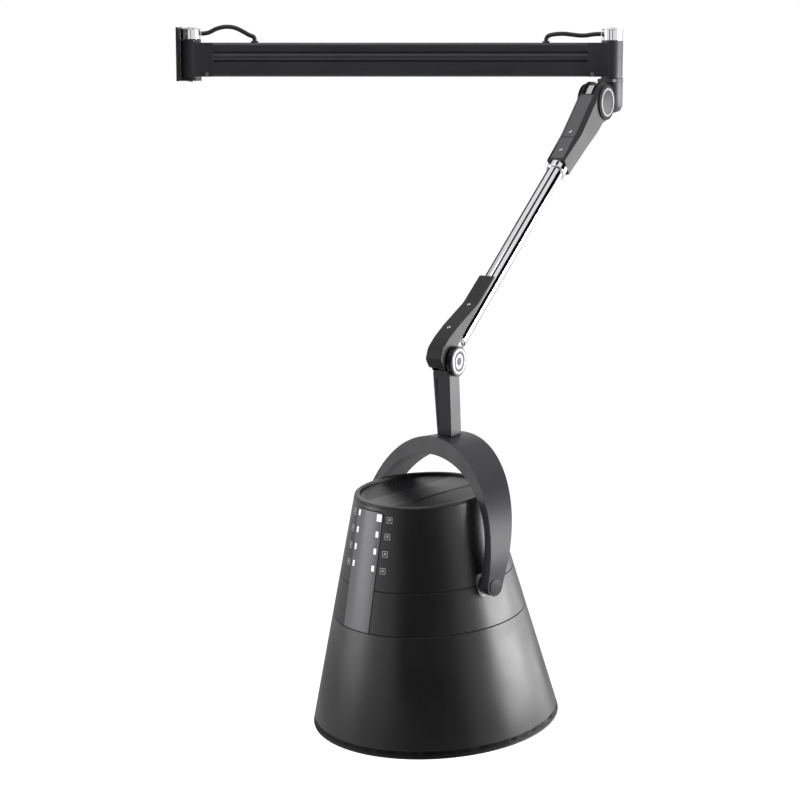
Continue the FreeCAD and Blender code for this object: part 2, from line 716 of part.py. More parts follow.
# ---------------------------------------------------------------- swivel bracket
def swivel_parts():
    turned("swivel_stem", rectangle("0", "stem_radius", "collar_bottom - stem_depth",
                                    "hub_high + stem_nut_lift"), SWIVEL)
    nut_place = Placement(second_column, Rotation())
    nut = doc.addObject("Part::Prism", "stem_nut_solid")
    nut.Polygon = 6
    nut.setExpression("Circumradius", bound("stem_nut_radius"))
    nut.setExpression("Height", bound("stem_nut_height"))
    nut.setExpression("Placement.Base.z", bound("hub_high + stem_nut_lift"))
    keep("stem_nut", nut, nut_place)

    disc = cylinder("collar_disc", "collar_radius", "collar_bottom", "hub_low - side_gap")
    nose = centred_box("collar_nose", ("0", "collar_reach"), "collar_nose_half_width",
                       ("collar_bottom", "hub_low - side_gap"))
    bore = cylinder("collar_bore", "stem_radius + seat_gap / 2", "collar_bottom - past", "hub_low + past")
    keep("swivel_collar", cut("swivel_collar_cut", fuse("swivel_collar_solid", disc, nose), bore), SWIVEL)

    post = turned_solid("post", [("0", "post_bottom"), ("post_radius - post_rounding", "post_bottom"),
                                 ("post_radius - post_rounding * post_rounding_share",
                                  "post_bottom + post_rounding * post_rounding_share"),
                                 ("post_radius", "post_bottom + post_rounding"),
                                 ("post_radius", "collar_bottom"), ("0", "collar_bottom")])
    tongue = centred_box("tongue", ("0", "shoulder_reach"), "tongue_half_width",
                         ("-shoulder_drop - tongue_radius", "-shoulder_drop + tongue_radius"))
    head = cylinder("tongue_head", "tongue_radius", "-tongue_half_width", "tongue_half_width", "y",
                    ("shoulder_reach", "-shoulder_drop"))
    stem_hole = cylinder("stem_hole", "stem_radius + seat_gap / 2", "collar_bottom - stem_depth",
                         "collar_bottom + past")
    pin_hole = cylinder("shoulder_pin_hole", "pin_radius + running_fit", "-tongue_half_width - past",
                        "tongue_half_width + past", "y", ("shoulder_reach", "-shoulder_drop"))
    slot, link_hole = clevis_tools("shoulder", SWIVEL.inverse().multiply(SHOULDER_LINK), "tongue_half_width")
    keep("shoulder_bracket", cut("shoulder_bracket_cut", fuse("shoulder_bracket_solid", post, tongue, head),
                                 stem_hole, pin_hole, slot, link_hole), SWIVEL)
    link_pin = cylinder("shoulder_link_pin", "link_pin_radius", "-tongue_half_width", "tongue_half_width",
                        "y")
    keep("shoulder_link_pin", group("shoulder_link_pin_group", [link_pin]),
         frame(shoulder + link_way * mm("link_offset"), outward, up))


def turned_solid(name, points):
    """Piece of revolution that only serves inside a boolean."""
    body = turned(name, points, WALL)
    del nodes[name]
    return body


def clevis_tools(name, place, half_width):
    """Slot for the levelling rod's eye and the hole of its pin, in the frame of the piece they cut."""
    slot = centred_box(name + "_slot", ("-tongue_radius - far_past", "tongue_radius + far_past"),
                       "clevis_half_gap", ("-pin_radius - clevis_floor", "tongue_radius + far_past"))
    hole = cylinder(name + "_link_hole", "link_pin_radius + seat_gap / 5", "-%s - past" % half_width,
                    "%s + past" % half_width, "y", ("0", "link_offset"))
    tools = []
    for tool in (slot, hole):
        holder = group(tool.Name + "_turned", [tool])
        holder.Placement = place
        tools.append(holder)
    return tools


# ---------------------------------------------------------------- upper arm
def casing_outline(inset, start):
    """Side outline of the shoulder casing from the pivot to its end; inset thins it by a wall."""
    return [("0", "shoulder_head_radius - (%s)" % inset), ("0", "-casing_belly_low + (%s)" % inset),
            ("casing_belly", "-casing_belly_low + (%s)" % inset),
            ("casing_bend", "-casing_bend_low + (%s)" % inset),
            (start, "-casing_end_half_height + (%s)" % inset),
            (start, "casing_end_half_height - (%s)" % inset),
            ("casing_bend", "casing_bend_top - (%s)" % inset)]


def cover_outline(start, end, start_top, end_top):
    return [(start, start_top), (start, "%s - casing_wall" % start_top), (end, "%s - casing_wall" % end_top),
            (end, end_top)]


def casing_top(x):
    """Height of the casing's upper face at a place between the head and the bend, or after it."""
    if mm(x) <= mm("casing_bend"):
        return "(shoulder_head_radius + (casing_bend_top - shoulder_head_radius) * (%s) / casing_bend)" % x
    return ("(casing_bend_top + (casing_end_half_height - casing_bend_top) * ((%s) - casing_bend)"
            " / (casing_end - casing_bend))" % x)


def shell_tools(name):
    """What is taken out of the casing's two halves."""
    inner = padded(name + "_inner", "XZ_Plane", "-shoulder_half_width + casing_wall",
                   "shoulder_half_width - casing_wall",
                   casing_outline("casing_wall", "casing_end - casing_end_wall"))
    inner_head = cylinder(name + "_inner_head", "shoulder_head_radius - casing_wall",
                          "-shoulder_half_width + casing_wall", "shoulder_half_width - casing_wall", "y")
    slot = centred_box(name + "_tongue_slot", ("-shoulder_head_radius - past", "0"),
                       "tongue_half_width + tongue_play",
                       ("-shoulder_head_radius - past", "tongue_slot_top"))
    sleeve = cylinder(name + "_sleeve_hole", "tube_radius - tube_wall", "casing_end - 2 * casing_end_wall",
                      "casing_end + past", "x")
    covers = [padded(name + "_cover_bed", "XZ_Plane", "-cover_half_width - seat_gap",
                     "cover_half_width + seat_gap",
                     [("cover_start", casing_top("cover_start")), ("cover_start", "0"),
                      ("casing_end - casing_end_wall", "0"),
                      ("casing_end - casing_end_wall", casing_top("casing_end - casing_end_wall")),
                      ("casing_bend", "casing_bend_top")])]
    tapers = []
    for side in ("-1", "1"):
        tapers.append(padded(name + "_taper", "XY_Plane", "-clear", "clear",
                             [("casing_bend", "%s * shoulder_half_width" % side),
                              ("casing_end + 5 * past", "%s * casing_end_half_width" % side),
                              ("casing_end + 5 * past", "%s * (shoulder_half_width + far_past)" % side),
                              ("casing_bend", "%s * (shoulder_half_width + far_past)" % side)]))
    return [inner, inner_head, slot, sleeve] + covers + tapers


def shoulder_parts():
    covers = []
    rings = []
    for side, label in ((-1, "left"), (1, "right")):
        low, high = ("seat_gap / 2", "shoulder_half_width")
        if side < 0:
            low, high = ("-shoulder_half_width", "-seat_gap / 2")
        block = padded("shell_block", "XZ_Plane", low, high, casing_outline("0", "casing_end"))
        head = cylinder("shell_head", "shoulder_head_radius", low, high, "y")
        hollow = cut("shell_hollow", fuse("shell_solid", block, head), *shell_tools("shell"))
        inner = ("tongue_half_width + tongue_play", "shoulder_half_width - casing_wall + boss_bite")
        span = inner if side > 0 else ("-(%s)" % inner[1], "-(%s)" % inner[0])
        boss = cylinder("shell_boss", "boss_radius", span[0], span[1], "y")
        bore = cylinder("shell_bore", "pin_radius + seat_gap / 2", "-shoulder_half_width - past",
                        "shoulder_half_width + past", "y")
        keep("shoulder_shell_" + label, cut("shell_bored", fuse("shell_with_boss", hollow, boss), bore), ARM)

        face = "shoulder_half_width"
        place = Placement(Vector(), Rotation(Vector(1, 0, 0), -90 * side))
        ring_low = "%s + pivot_cover_height" % face
        covers.append(placed(turned_solid("pivot_cover_" + label, rectangle(
            "0", "pivot_cover_radius", face, ring_low)), place))
        rings.append(placed(turned_solid("pivot_ring_" + label, rectangle(
            "pivot_ring_inner", "pivot_ring_radius", ring_low, "%s + pivot_ring_height" % ring_low)), place))

    keep("pivot_covers", group("pivot_cover_pair", covers), ARM)
    keep("pivot_rings", group("pivot_ring_pair", rings), ARM)

    end = "casing_end - casing_end_wall - seat_gap"
    first_end, second_start = "cover_seam - cover_seam_gap / 2", "cover_seam + cover_seam_gap / 2"
    start = "cover_start + seat_gap"
    upper = [(start, casing_top(start)), (start, "%s - casing_wall" % casing_top(start)),
             ("casing_bend", "casing_bend_top - casing_wall"),
             (first_end, "%s - casing_wall" % casing_top("cover_seam")),
             (first_end, casing_top("cover_seam")), ("casing_bend", "casing_bend_top")]
    lower = cover_outline(second_start, end, casing_top("cover_seam"), casing_top(end))
    lids = []
    screws = []
    for outline, screw_at in ((upper, "shoulder_screw_first"), (lower, "shoulder_screw_second")):
        plate = padded("cover_plate", "XZ_Plane", "-cover_half_width", "cover_half_width", outline)
        hole = cylinder("cover_hole", "screw_shank_radius + seat_gap / 2", "0", "clear", "z",
                        (screw_at, "0"))
        lids.append(cut("cover_cut", plate, hole))
        top = casing_top(screw_at)
        shank = cylinder("cover_screw_shank", "screw_shank_radius", "%s - screw_length" % top,
                         "%s + screw_head_height" % top, "z", (screw_at, "0"))
        head = cylinder("cover_screw_head", "screw_head_radius", "%s + screw_seat_height" % top,
                        "%s + screw_head_height" % top, "z", (screw_at, "0"))
        screws.append(fuse("cover_screw", shank, head))
    keep("shoulder_covers", group("shoulder_cover_pair", lids), ARM)
    keep("shoulder_screws", group("shoulder_screw_pair", screws), ARM)

    pin = cylinder("shoulder_pin_solid", "pin_radius", "-shoulder_half_width", "shoulder_half_width", "y")
    keep("shoulder_pin", group("shoulder_pin_group", [pin]), ARM)


def tube_parts():
    along_arm = ARM.multiply(Placement(Vector(), Rotation(Vector(0, 1, 0), 90)))
    inner = "tube_radius - tube_wall"
    ferrule_end = "casing_end + ferrule_length"
    turned("ferrule", [("tube_radius + seat_gap / 2", "casing_end"), ("ferrule_radius", "casing_end"),
                       ("ferrule_radius", "%s - ferrule_chamfer" % ferrule_end),
                       ("ferrule_radius - ferrule_chamfer", ferrule_end),
                       ("tube_radius + seat_gap / 2", ferrule_end)], along_arm)
    turned("arm_tube", rectangle(inner, "tube_radius", "casing_end + seat_gap", "tube_end"), along_arm)
    turned("arm_sleeve", rectangle("%s - sleeve_wall" % inner, "%s - seat_gap / 2" % inner, "sleeve_start",
                                   "sleeve_end"), along_arm)
    spring_line = along_arm.multiply(Placement(Vector(mm("spring_drop"), 0, 0), Rotation()))
    turned("balance_spring", rectangle("spring_radius - spring_wall", "spring_radius", "spring_start",
                                       "spring_end"), spring_line)
    seats = []
    for low, high in (("(spring_start - spring_seat_length)", "spring_start"),
                      ("spring_end", "spring_end + spring_seat_length")):
        disc = cylinder("spring_seat_disc", "%s - seat_gap / 2" % inner, low, high, "x")
        rod_slot = centred_box("spring_seat_slot", ("%s - past" % low, "%s + past" % high),
                               "rod_radius + rod_room", ("rod_trough", "far_past"))
        seats.append(cut("spring_seat", disc, rod_slot))
    keep("spring_seats", group("spring_seat_pair", seats), ARM)


# ---------------------------------------------------------------- elbow
def elbow_parts():
    half, gap, inner = "fork_half_width", "fork_gap", "tube_radius - tube_wall - seat_gap / 2"
    plug = cylinder("fork_plug", inner, "tube_end - fork_plug_length", "tube_end + fork_plug_bite", "x")
    cheeks = centred_box("fork_cheeks", ("tube_end + seat_gap", "arm_length"), half,
                         ("-fork_cheek_half_height", "fork_cheek_half_height"))
    head = cylinder("fork_head", "fork_head_radius", "-%s" % half, half, "y", ("arm_length", "0"))
    gap_box = centred_box("fork_gap_box", ("tube_end + fork_gap_start", "arm_length + clear"), gap,
                          ("-clear", "clear"))
    rod_way = centred_box("fork_rod_way", ("tube_end - fork_plug_length - past", "arm_length"),
                          "rod_radius + rod_room", ("rod_trough", "clear"))
    bore = cylinder("fork_bore", "pin_radius + seat_gap / 2", "-%s - past" % half, "%s + past" % half, "y",
                    ("arm_length", "0"))
    keep("elbow_fork", cut("elbow_fork_cut", fuse("elbow_fork_solid", plug, cheeks, head),
                           gap_box, rod_way, bore), ARM)

    far = "arm_length + elbow_back_reach"
    top = [("elbow_start", "elbow_side_start"), ("tube_end - elbow_tube_cover", "elbow_side_middle"),
           ("arm_length - knob_face_radius", "elbow_side_end"), (far, "elbow_side_end"),
           (far, "elbow_far_height"), ("arm_length + elbow_head_half_length", "elbow_head_height"),
           ("arm_length - elbow_head_half_length", "elbow_head_height"),
           ("elbow_mid", "elbow_mid_top"), ("elbow_rise_start", "elbow_rise_top"),
           ("elbow_start", "elbow_start_top")]
    room_start = "tube_end + elbow_room_gap"
    room_end = "%s - casing_wall" % far
    room = [(room_start, "-clear"), (room_end, "-clear"), (room_end, "elbow_far_height - elbow_far_slant"),
            ("arm_length + elbow_head_half_length", "elbow_head_height - casing_wall"),
            ("arm_length - elbow_head_half_length", "elbow_head_height - casing_wall"),
            (room_start, "elbow_mid_top - casing_wall")]
    block = padded("elbow_block", "XZ_Plane", "-elbow_half_width", "elbow_half_width", top)
    hollow = padded("elbow_room", "XZ_Plane", "-elbow_half_width + casing_wall",
                    "elbow_half_width - casing_wall", room)
    saddle = cylinder("elbow_saddle", "tube_radius + seat_gap", "0", room_start, "x")
    flange = cylinder("elbow_flange_room", "tube_radius + seat_gap", "tube_end",
                      "tube_end + elbow_flange_length", "x")
    screws = []
    holes = []
    for x, height in (("elbow_screw_first", "elbow_rise_top + (elbow_mid_top - elbow_rise_top)"
                       " * (elbow_screw_first - elbow_rise_start) / (elbow_mid - elbow_rise_start)"),
                      ("elbow_screw_second", "elbow_mid_top + elbow_screw_second_lift")):
        seat = "%s + elbow_screw_seat" % height
        foot = "%s - elbow_screw_hold" % height
        shank = cylinder("elbow_screw_shank", "screw_shank_radius", foot, "%s + screw_head_height" % seat,
                         "z", (x, "0"))
        head = cylinder("elbow_screw_head", "screw_head_radius", seat, "%s + screw_head_height" % seat,
                        "z", (x, "0"))
        screws.append(fuse("elbow_screw", shank, head))
        holes.append(cylinder("elbow_screw_hole", "screw_shank_radius + seat_gap / 2",
                              "%s - seat_gap" % foot, "clear", "z", (x, "0")))
    keep("elbow_cover", cut("elbow_cover_cut", block, hollow, saddle, flange, *holes), ARM)
    keep("elbow_screws", group("elbow_screw_pair", screws), ARM)

    shank = cylinder("elbow_pin_shank", "pin_radius", "-%s" % half, "knob_end - edge_chamfer", "y",
                     ("arm_length", "0"))
    collar = cylinder("elbow_pin_collar", "pin_collar_radius", "elbow_half_width + seat_gap",
                      "knob_start - seat_gap", "y", ("arm_length", "0"))
    keep("elbow_pin", fuse("elbow_pin_solid", shank, collar), ARM)
    left_side = ELBOW_ARM.multiply(Placement(Vector(), Rotation(Vector(1, 0, 0), 90)))
    right_side = ELBOW_ARM.multiply(Placement(Vector(), Rotation(Vector(1, 0, 0), -90)))
    plug_radius = "pin_radius + fork_plug_bite / 2"
    cap_foot, cap_head = "elbow_half_width + seat_gap", "elbow_half_width + elbow_cap_height"
    turned("elbow_cap", [("0", half), (plug_radius, half), (plug_radius, cap_foot),
                         ("elbow_cap_radius", cap_foot), ("elbow_cap_radius - edge_chamfer", cap_head),
                         ("0", cap_head)], left_side)
    bore_radius = "pin_radius + running_fit"
    groove_low = "(knob_start + knob_end) / 2 - knob_groove_half_width"
    groove_high = "(knob_start + knob_end) / 2 + knob_groove_half_width"
    turned("elbow_knob", [(bore_radius, "knob_start"), ("knob_radius", "knob_start"),
                          ("knob_radius", groove_low), ("knob_groove_radius", groove_low),
                          ("knob_groove_radius", groove_high), ("knob_radius", groove_high),
                          ("knob_radius", "knob_end - edge_chamfer"),
                          ("knob_radius - edge_chamfer", "knob_end"), (bore_radius, "knob_end")], right_side)
    turned("elbow_knob_face", [("0", "knob_end"), ("knob_face_radius", "knob_end"),
                               ("knob_face_radius - knob_face_chamfer", "knob_end + knob_face_height"),
                               ("0", "knob_end + knob_face_height")], right_side)


def rod_parts():
    """Levelling rod with an eye at each end; its lower end stands free round the neck's link pin."""
    rod = cylinder("rod_bar", "rod_radius", "0", "arm_length", "x")
    eyes = [cylinder("rod_eye", "rod_eye_radius", "-rod_half_width", "rod_half_width", "y", (x, "0"))
            for x in ("0", "arm_length")]
    first = cylinder("rod_hole", "link_pin_radius + running_fit", "-far_past", "far_past", "y")
    second = cylinder("rod_far_hole", "link_pin_radius + side_gap", "-far_past", "far_past", "y",
                      ("arm_length", "0"))
    keep("leveling_rod", cut("leveling_rod_cut", fuse("leveling_rod_solid", rod, *eyes), first, second), ROD)


# ---------------------------------------------------------------- neck
def neck_parts():
    body = doc.addObject("PartDesign::Body", "neck_body")
    foot = "-neck_length + side_gap"
    upper = sketch(body, "XY_Plane", "-neck_shoulder", rectangle(
        "neck_top_back", "neck_top_front", "-neck_top_half_width", "neck_top_half_width"))
    lower = sketch(body, "XY_Plane", foot, rectangle(
        "neck_bottom_back", "neck_bottom_front", "-neck_bottom_half_width", "neck_bottom_half_width"))
    loft = body.newObject("PartDesign::AdditiveLoft", "Loft")
    loft.Profile = upper
    loft.Sections = [lower]
    loft.Ruled = True
    half = "neck_head_half_width"
    stalk = centred_box("neck_stalk", ("-neck_stalk_half_length", "neck_stalk_half_length"), half,
                        ("-neck_shoulder - neck_stalk_bite", "0"))
    head = cylinder("neck_head", "neck_head_radius", "-%s" % half, half, "y")
    bore = cylinder("neck_bore", "pin_radius + running_fit", "-far_past", "far_past", "y")
    stem_hole = cylinder("neck_stem_hole", "yoke_stem_radius + running_fit", "%s - past" % foot,
                         "-neck_length + yoke_stem_up + side_gap", "z", ("neck_shift", "0"))
    slot, link_hole = clevis_tools("neck", NECK.inverse().multiply(ELBOW_LINK), half)
    cap_room = cylinder("cap_room", "elbow_cap_radius + 2 * side_gap", "-clear",
                        "-elbow_half_width + side_gap", "y")
    keep("neck_post", cut("neck_post_cut", fuse("neck_post_solid", body, stalk, head),
                          bore, stem_hole, slot, link_hole, cap_room), NECK)
    link_pin = cylinder("neck_link_pin_solid", "link_pin_radius", "-%s" % half, half, "y")
    keep("neck_link_pin", group("neck_link_pin_group", [link_pin]),
         frame(elbow + link_way * mm("link_offset"), outward, up))


# ---------------------------------------------------------------- yoke
def arch_wire(half_width, top, rise, foot):
    """Arch in the YZ plane: straight legs from foot, then half an ellipse up to top."""
    spring_line = top - rise
    centre = Vector(0, 0, spring_line)
    tall = rise > half_width
    first_point = Vector(0, 0, top) if tall else Vector(0, half_width, spring_line)
    second_point = Vector(0, half_width, spring_line) if tall else Vector(0, 0, top)
    ellipse = Part.Ellipse(first_point, second_point, centre)
    left = Vector(0, -half_width, spring_line)
    right = Vector(0, half_width, spring_line)
    start, end = ellipse.parameter(right), ellipse.parameter(left)
    crown = ellipse.parameter(Vector(0, 0, top))
    if not (start < crown < end):
        start, end = end, start
    if start > end:
        start -= 2 * math.pi
    arc = ellipse.toShape(start, end)
    legs = [Part.LineSegment(Vector(0, -half_width, foot), left).toShape(),
            Part.LineSegment(right, Vector(0, half_width, foot)).toShape(),
            Part.LineSegment(Vector(0, half_width, foot), Vector(0, -half_width, foot)).toShape()]
    return Part.Wire(Part.sortEdges(legs + [arc])[0])


def yoke_parts():
    foot = mm("-leg_end_radius")
    span = mm("3 * yoke_half_width")
    depth = Vector(span, 0, 0)
    outer = arch_wire(mm("yoke_half_width"), mm("yoke_height"), mm("yoke_outer_rise"), foot)
    inner = arch_wire(mm("yoke_inner_half_width"), mm("yoke_height - yoke_crown"), mm("yoke_inner_rise"),
                      foot)
    band = Part.Face(outer).extrude(depth).cut(Part.Face(inner).extrude(depth))
    band.translate(depth * -0.5)
    front, front_top = mm("yoke_front_low"), mm("yoke_front_high")
    back, back_top = mm("yoke_back_low"), mm("yoke_back_high")
    height = mm("yoke_height")
    wide = Vector(0, span, 0)
    far_side = -span / 2
    corners = [Vector(front, far_side, 0), Vector(2 * front_top - front, far_side, 2 * height),
               Vector(2 * back_top - back, far_side, 2 * height), Vector(back, far_side, 0),
               Vector(front, far_side, 0)]
    side = Part.Face(Part.makePolygon(corners)).extrude(wide)
    middle = (front + back) / 2
    end = Part.makeCylinder((front - back) / 2, span, Vector(middle, far_side, 0), Vector(0, 1, 0))
    shape = band.common(side.fuse(end))
    bore = Part.makeCylinder(mm("pivot_pin_radius + running_fit"), span, Vector(0, far_side, 0),
                             Vector(0, 1, 0))
    stem = Part.makeCylinder(mm("yoke_stem_radius + seat_gap / 5"), mm("2 * yoke_stem_down"),
                             Vector(mm("-pivot_lean"), 0, height - mm("yoke_stem_down")), up)
    yoke = doc.addObject("Part::Feature", "yoke")
    yoke.Shape = shape.cut(bore).cut(stem).removeSplitter()
    keep("yoke", yoke, YOKE)
    turned("yoke_stem", rectangle("0", "yoke_stem_radius", "-yoke_stem_down", "yoke_stem_up"), STEM)
    caps = []
    for side_sign in (-1, 1):
        turn = Placement(Vector(mm("(yoke_front_low + yoke_back_low) / 2"), 0, 0),
                         Rotation(Vector(1, 0, 0), -90 * side_sign))
        caps.append(placed(turned_solid("yoke_cap", [
            ("0", "yoke_half_width"), ("yoke_cap_radius", "yoke_half_width"),
            ("yoke_cap_radius", "yoke_half_width + yoke_cap_height - yoke_cap_chamfer"),
            ("yoke_cap_radius - yoke_cap_chamfer", "yoke_half_width + yoke_cap_height"),
            ("0", "yoke_half_width + yoke_cap_height")]), turn))
    keep("yoke_caps", group("yoke_cap_pair", caps), YOKE)


# ---------------------------------------------------------------- hood shells
def cone_ring(low, high, inset_outer="0", inset_inner="hood_wall"):
    """Outline of a ring of the hood between two heights."""
    return [(hood_radius(low, inset_inner), low), (hood_radius(low, inset_outer), low),
            (hood_radius(high, inset_outer), high), (hood_radius(high, inset_inner), high)]


def panel_room(name, margin):
    """Box in front of the hood that the control panel fills."""
    return box(name, ("0", "hood_bottom_radius"), ("-panel_half_width - (%s)" % margin,
                                                   "panel_half_width + (%s)" % margin),
               ("panel_low - (%s)" % margin, "panel_high + (%s)" % margin))


def pivot_hole(name):
    return cylinder(name, "pivot_pin_radius + seat_gap / 2", "-outside", "outside", "y",
                    ("0", "pivot_height"))


VENT_ROWS = 7


def hood_parts():
    turned("hood_rim", [(hood_radius("0", "rim_width"), "0"), (hood_radius("0", "edge_chamfer"), "0"),
                        (hood_radius("0"), "edge_chamfer"), (hood_radius("rim_height"), "rim_height"),
                        (hood_radius("rim_height", "rim_width"), "rim_height")], HOOD)
    turned("hood_lower", cone_ring("rim_height + seam_gap / 2", "seam_lower - seam_gap / 2"), HOOD)
    shells = {"hood_middle": ("seam_lower + seam_gap / 2", "seam_upper - seam_gap / 2"),
              "hood_upper": ("seam_upper + seam_gap / 2", "collar_height - seam_gap / 2")}
    for label, (low, high) in shells.items():
        ring = turned_solid(label + "_ring", cone_ring(low, high))
        keep(label, cut(label + "_cut", ring, panel_room(label + "_panel_room", "seat_gap"),
                        pivot_hole(label + "_pivot_hole")), HOOD)

    seat_low = "lid_low - ledge_width / 2"
    turned("top_rim", [(hood_radius("collar_height"), "collar_height"),
                       (hood_radius("hood_height"), "hood_height - top_rim_chamfer"),
                       (hood_radius("hood_height", "top_rim_chamfer"), "hood_height"),
                       ("top_opening_radius", "hood_height"), ("top_opening_radius", "lid_low"),
                       ("top_opening_radius - ledge_width", "lid_low"),
                       ("top_opening_radius - ledge_width", seat_low),
                       (hood_radius(seat_low, "panel_thickness + side_gap"), seat_low),
                       (hood_radius("collar_height", "panel_thickness + side_gap"), "collar_height")],
           HOOD)
    lid_radius = "top_opening_radius - seat_gap"
    disc = cylinder("band_disc", lid_radius, "lid_low", "lid_high")
    strip = centred_box("band_strip", ("-hood_top_radius", "hood_top_radius"), "band_half_width",
                        ("lid_low", "lid_high"))
    keep("top_band", common("top_band_shape", disc, strip), HOOD)
    vents = []
    for sign in ("-1", "1"):
        disc = cylinder("vent_disc", lid_radius, "lid_low", "lid_high - vent_sink")
        spans = ["%s * (band_half_width + seat_gap)" % sign, "%s * hood_top_radius" % sign]
        if sign == "-1":
            spans.reverse()
        segment = box("vent_side", ("-hood_top_radius", "hood_top_radius"), spans,
                      ("lid_low", "lid_high"))
        slots = []
        for row in range(VENT_ROWS):
            y = "%s * (band_half_width + %d * vent_pitch)" % (sign, row + 1)
            reach = "(vent_reach - %d * vent_reach_step)" % row
            slots.append(box("vent_slot", ("-%s" % reach, reach),
                             ("%s - vent_slot_half_width" % y, "%s + vent_slot_half_width" % y),
                             ("lid_low - past", "lid_high + past")))
        vents.append(cut("vent_cut", common("vent_shape", disc, segment), *slots))
    keep("vent_grilles", group("vent_grille_pair", vents), HOOD)


WINDOW_ROWS = 4


def panel_parts():
    ring = turned_solid("panel_ring", cone_ring("panel_low", "panel_high", "-panel_proud",
                                                "panel_thickness"))
    blank = common("panel_blank", ring, panel_room("panel_room", "0"))
    slope = math.degrees(math.atan(mm("hood_slope")))
    rooms = []
    windows = []
    for row in range(WINDOW_ROWS):
        height = "window_first - %d * window_pitch" % row
        for side in ("-1", "1"):
            along_y = mm("%s * window_side" % side)
            radius = mm(hood_radius(height, "-panel_proud"))
            angle = math.degrees(math.asin(along_y / radius))
            turn = Rotation(up, angle).multiply(Rotation(Vector(0, 1, 0), -slope))
            spot = Rotation(up, angle).multVec(Vector(radius, 0, 0)) + up * mm(height)
            for kind, margin in ((rooms, "seat_gap / 2"), (windows, "0")):
                solid = doc.addObject("Part::Box", "window")
                solid.setExpression("Length", bound("window_depth + (%s)" % margin))
                solid.setExpression("Width", bound("window_width + 2 * (%s)" % margin))
                solid.setExpression("Height", bound("window_height + 2 * (%s)" % margin))
                inner = Vector(-mm("window_depth + (%s)" % margin), -mm("window_width / 2 + (%s)" % margin),
                               -mm("window_height / 2 + (%s)" % margin))
                solid.Placement = Placement(spot, turn).multiply(Placement(inner, Rotation()))
                kind.append(solid)
    keep("control_panel", cut("control_panel_cut", blank, *rooms), HOOD)
    keep("indicator_windows", group("indicator_window_group", windows), HOOD)

    board = doc.addObject("Part::Box", "circuit_board_solid")
    board.setExpression("Length", bound("board_thickness"))
    board.setExpression("Width", bound("2 * board_half_width"))
    board.setExpression("Height", bound("board_length"))
    height = mm("(panel_low + panel_high) / 2")
    chord = mm(hood_radius("(panel_low + panel_high) / 2", "panel_thickness"))
    depth = math.sqrt(chord ** 2 - mm("board_half_width") ** 2) - mm("board_gap")
    inner = Vector(-mm("board_thickness"), -mm("board_half_width"), -mm("board_length / 2"))
    local = Placement(Vector(depth, 0, height), Rotation(Vector(0, 1, 0), -slope))
    keep("circuit_board", group("circuit_board_group", [board]), HOOD)
    board.Placement = local.multiply(Placement(inner, Rotation()))


def pivot_parts():
    bosses = []
    pins = []
    for sign, label in (("-1", "left"), ("1", "right")):
        inner_end = "%s * (%s)" % (sign, hood_radius("pivot_height", "hood_wall + pivot_depth"))
        ends = [inner_end, "%s * (yoke_inner_half_width - side_gap)" % sign]
        pin_ends = [inner_end, "%s * (yoke_half_width - side_gap)" % sign]
        if sign == "-1":
            ends.reverse()
            pin_ends.reverse()
        block = cylinder("boss_block", "pivot_boss_radius", ends[0], ends[1], "y",
                         ("0", "pivot_height"))
        cone = turned_solid("boss_cone_" + label, [
            ("0", "0"), (hood_radius("0", "-seat_gap / 2"), "0"),
            (hood_radius("hood_height", "-seat_gap / 2"), "hood_height"), ("0", "hood_height")])
        bosses.append(cut("pivot_boss_cut", block, cone, pivot_hole("boss_hole_" + label)))
        pins.append(cylinder("pivot_pin_solid", "pivot_pin_radius", pin_ends[0], pin_ends[1], "y",
                             ("0", "pivot_height")))
    keep("pivot_bosses", group("pivot_boss_pair", bosses), HOOD)
    keep("pivot_pins", group("pivot_pin_pair", pins), HOOD)


# ---------------------------------------------------------------- inside the hood
def liner_parts():
    inset = "hood_wall + liner_gap"
    inner = "%s + liner_wall" % inset
    foot, top, roof = "rim_height", "liner_top", "liner_roof"
    flange = "%s + liner_flange" % foot
    flange_radius = hood_radius(foot, "hood_wall + liner_foot_gap")
    turned("hood_liner", [(hood_radius(foot, inner), foot), (flange_radius, foot), (flange_radius, flange),
                          (hood_radius(flange, inset), flange), (hood_radius(top, inset), top),
                          ("duct_radius - duct_wall", top), ("duct_radius - duct_wall", roof),
                          (hood_radius(roof, inner), roof)], HOOD)
    slope = math.degrees(math.atan(mm("hood_slope")))
    tubes = []
    holders = []
    count = int(mm("heater_count"))
    for index in range(count):
        angle = 360.0 * (index + 0.5) / count
        turn = Rotation(up, angle).multiply(Rotation(Vector(0, 1, 0), -slope))
        radius = mm(hood_radius("heater_low", inner))
        spot = Rotation(up, angle).multVec(Vector(radius, 0, 0)) + up * mm("heater_low")
        lamp_place = Placement(spot, turn)
        tube = cylinder("heater_tube", "heater_radius", "0", "heater_length", "z", ("-heater_stand_off", "0"))
        group_tube = group("heater_tube_turned", [tube])
        group_tube.Placement = lamp_place
        tubes.append(group_tube)
        for low, high in (("-holder_length", "0"), ("heater_length", "heater_length + holder_length")):
            block = centred_box("heater_holder", ("-heater_stand_off - heater_radius - holder_bite",
                                                    "-holder_gap"),
                                "holder_width / 2", (low, high))
            group_block = group("heater_holder_turned", [block])
            group_block.Placement = lamp_place
            holders.append(group_block)
    keep("heater_tubes", group("heater_tube_set", tubes), HOOD)
    keep("heater_holders", group("heater_holder_set", holders), HOOD)


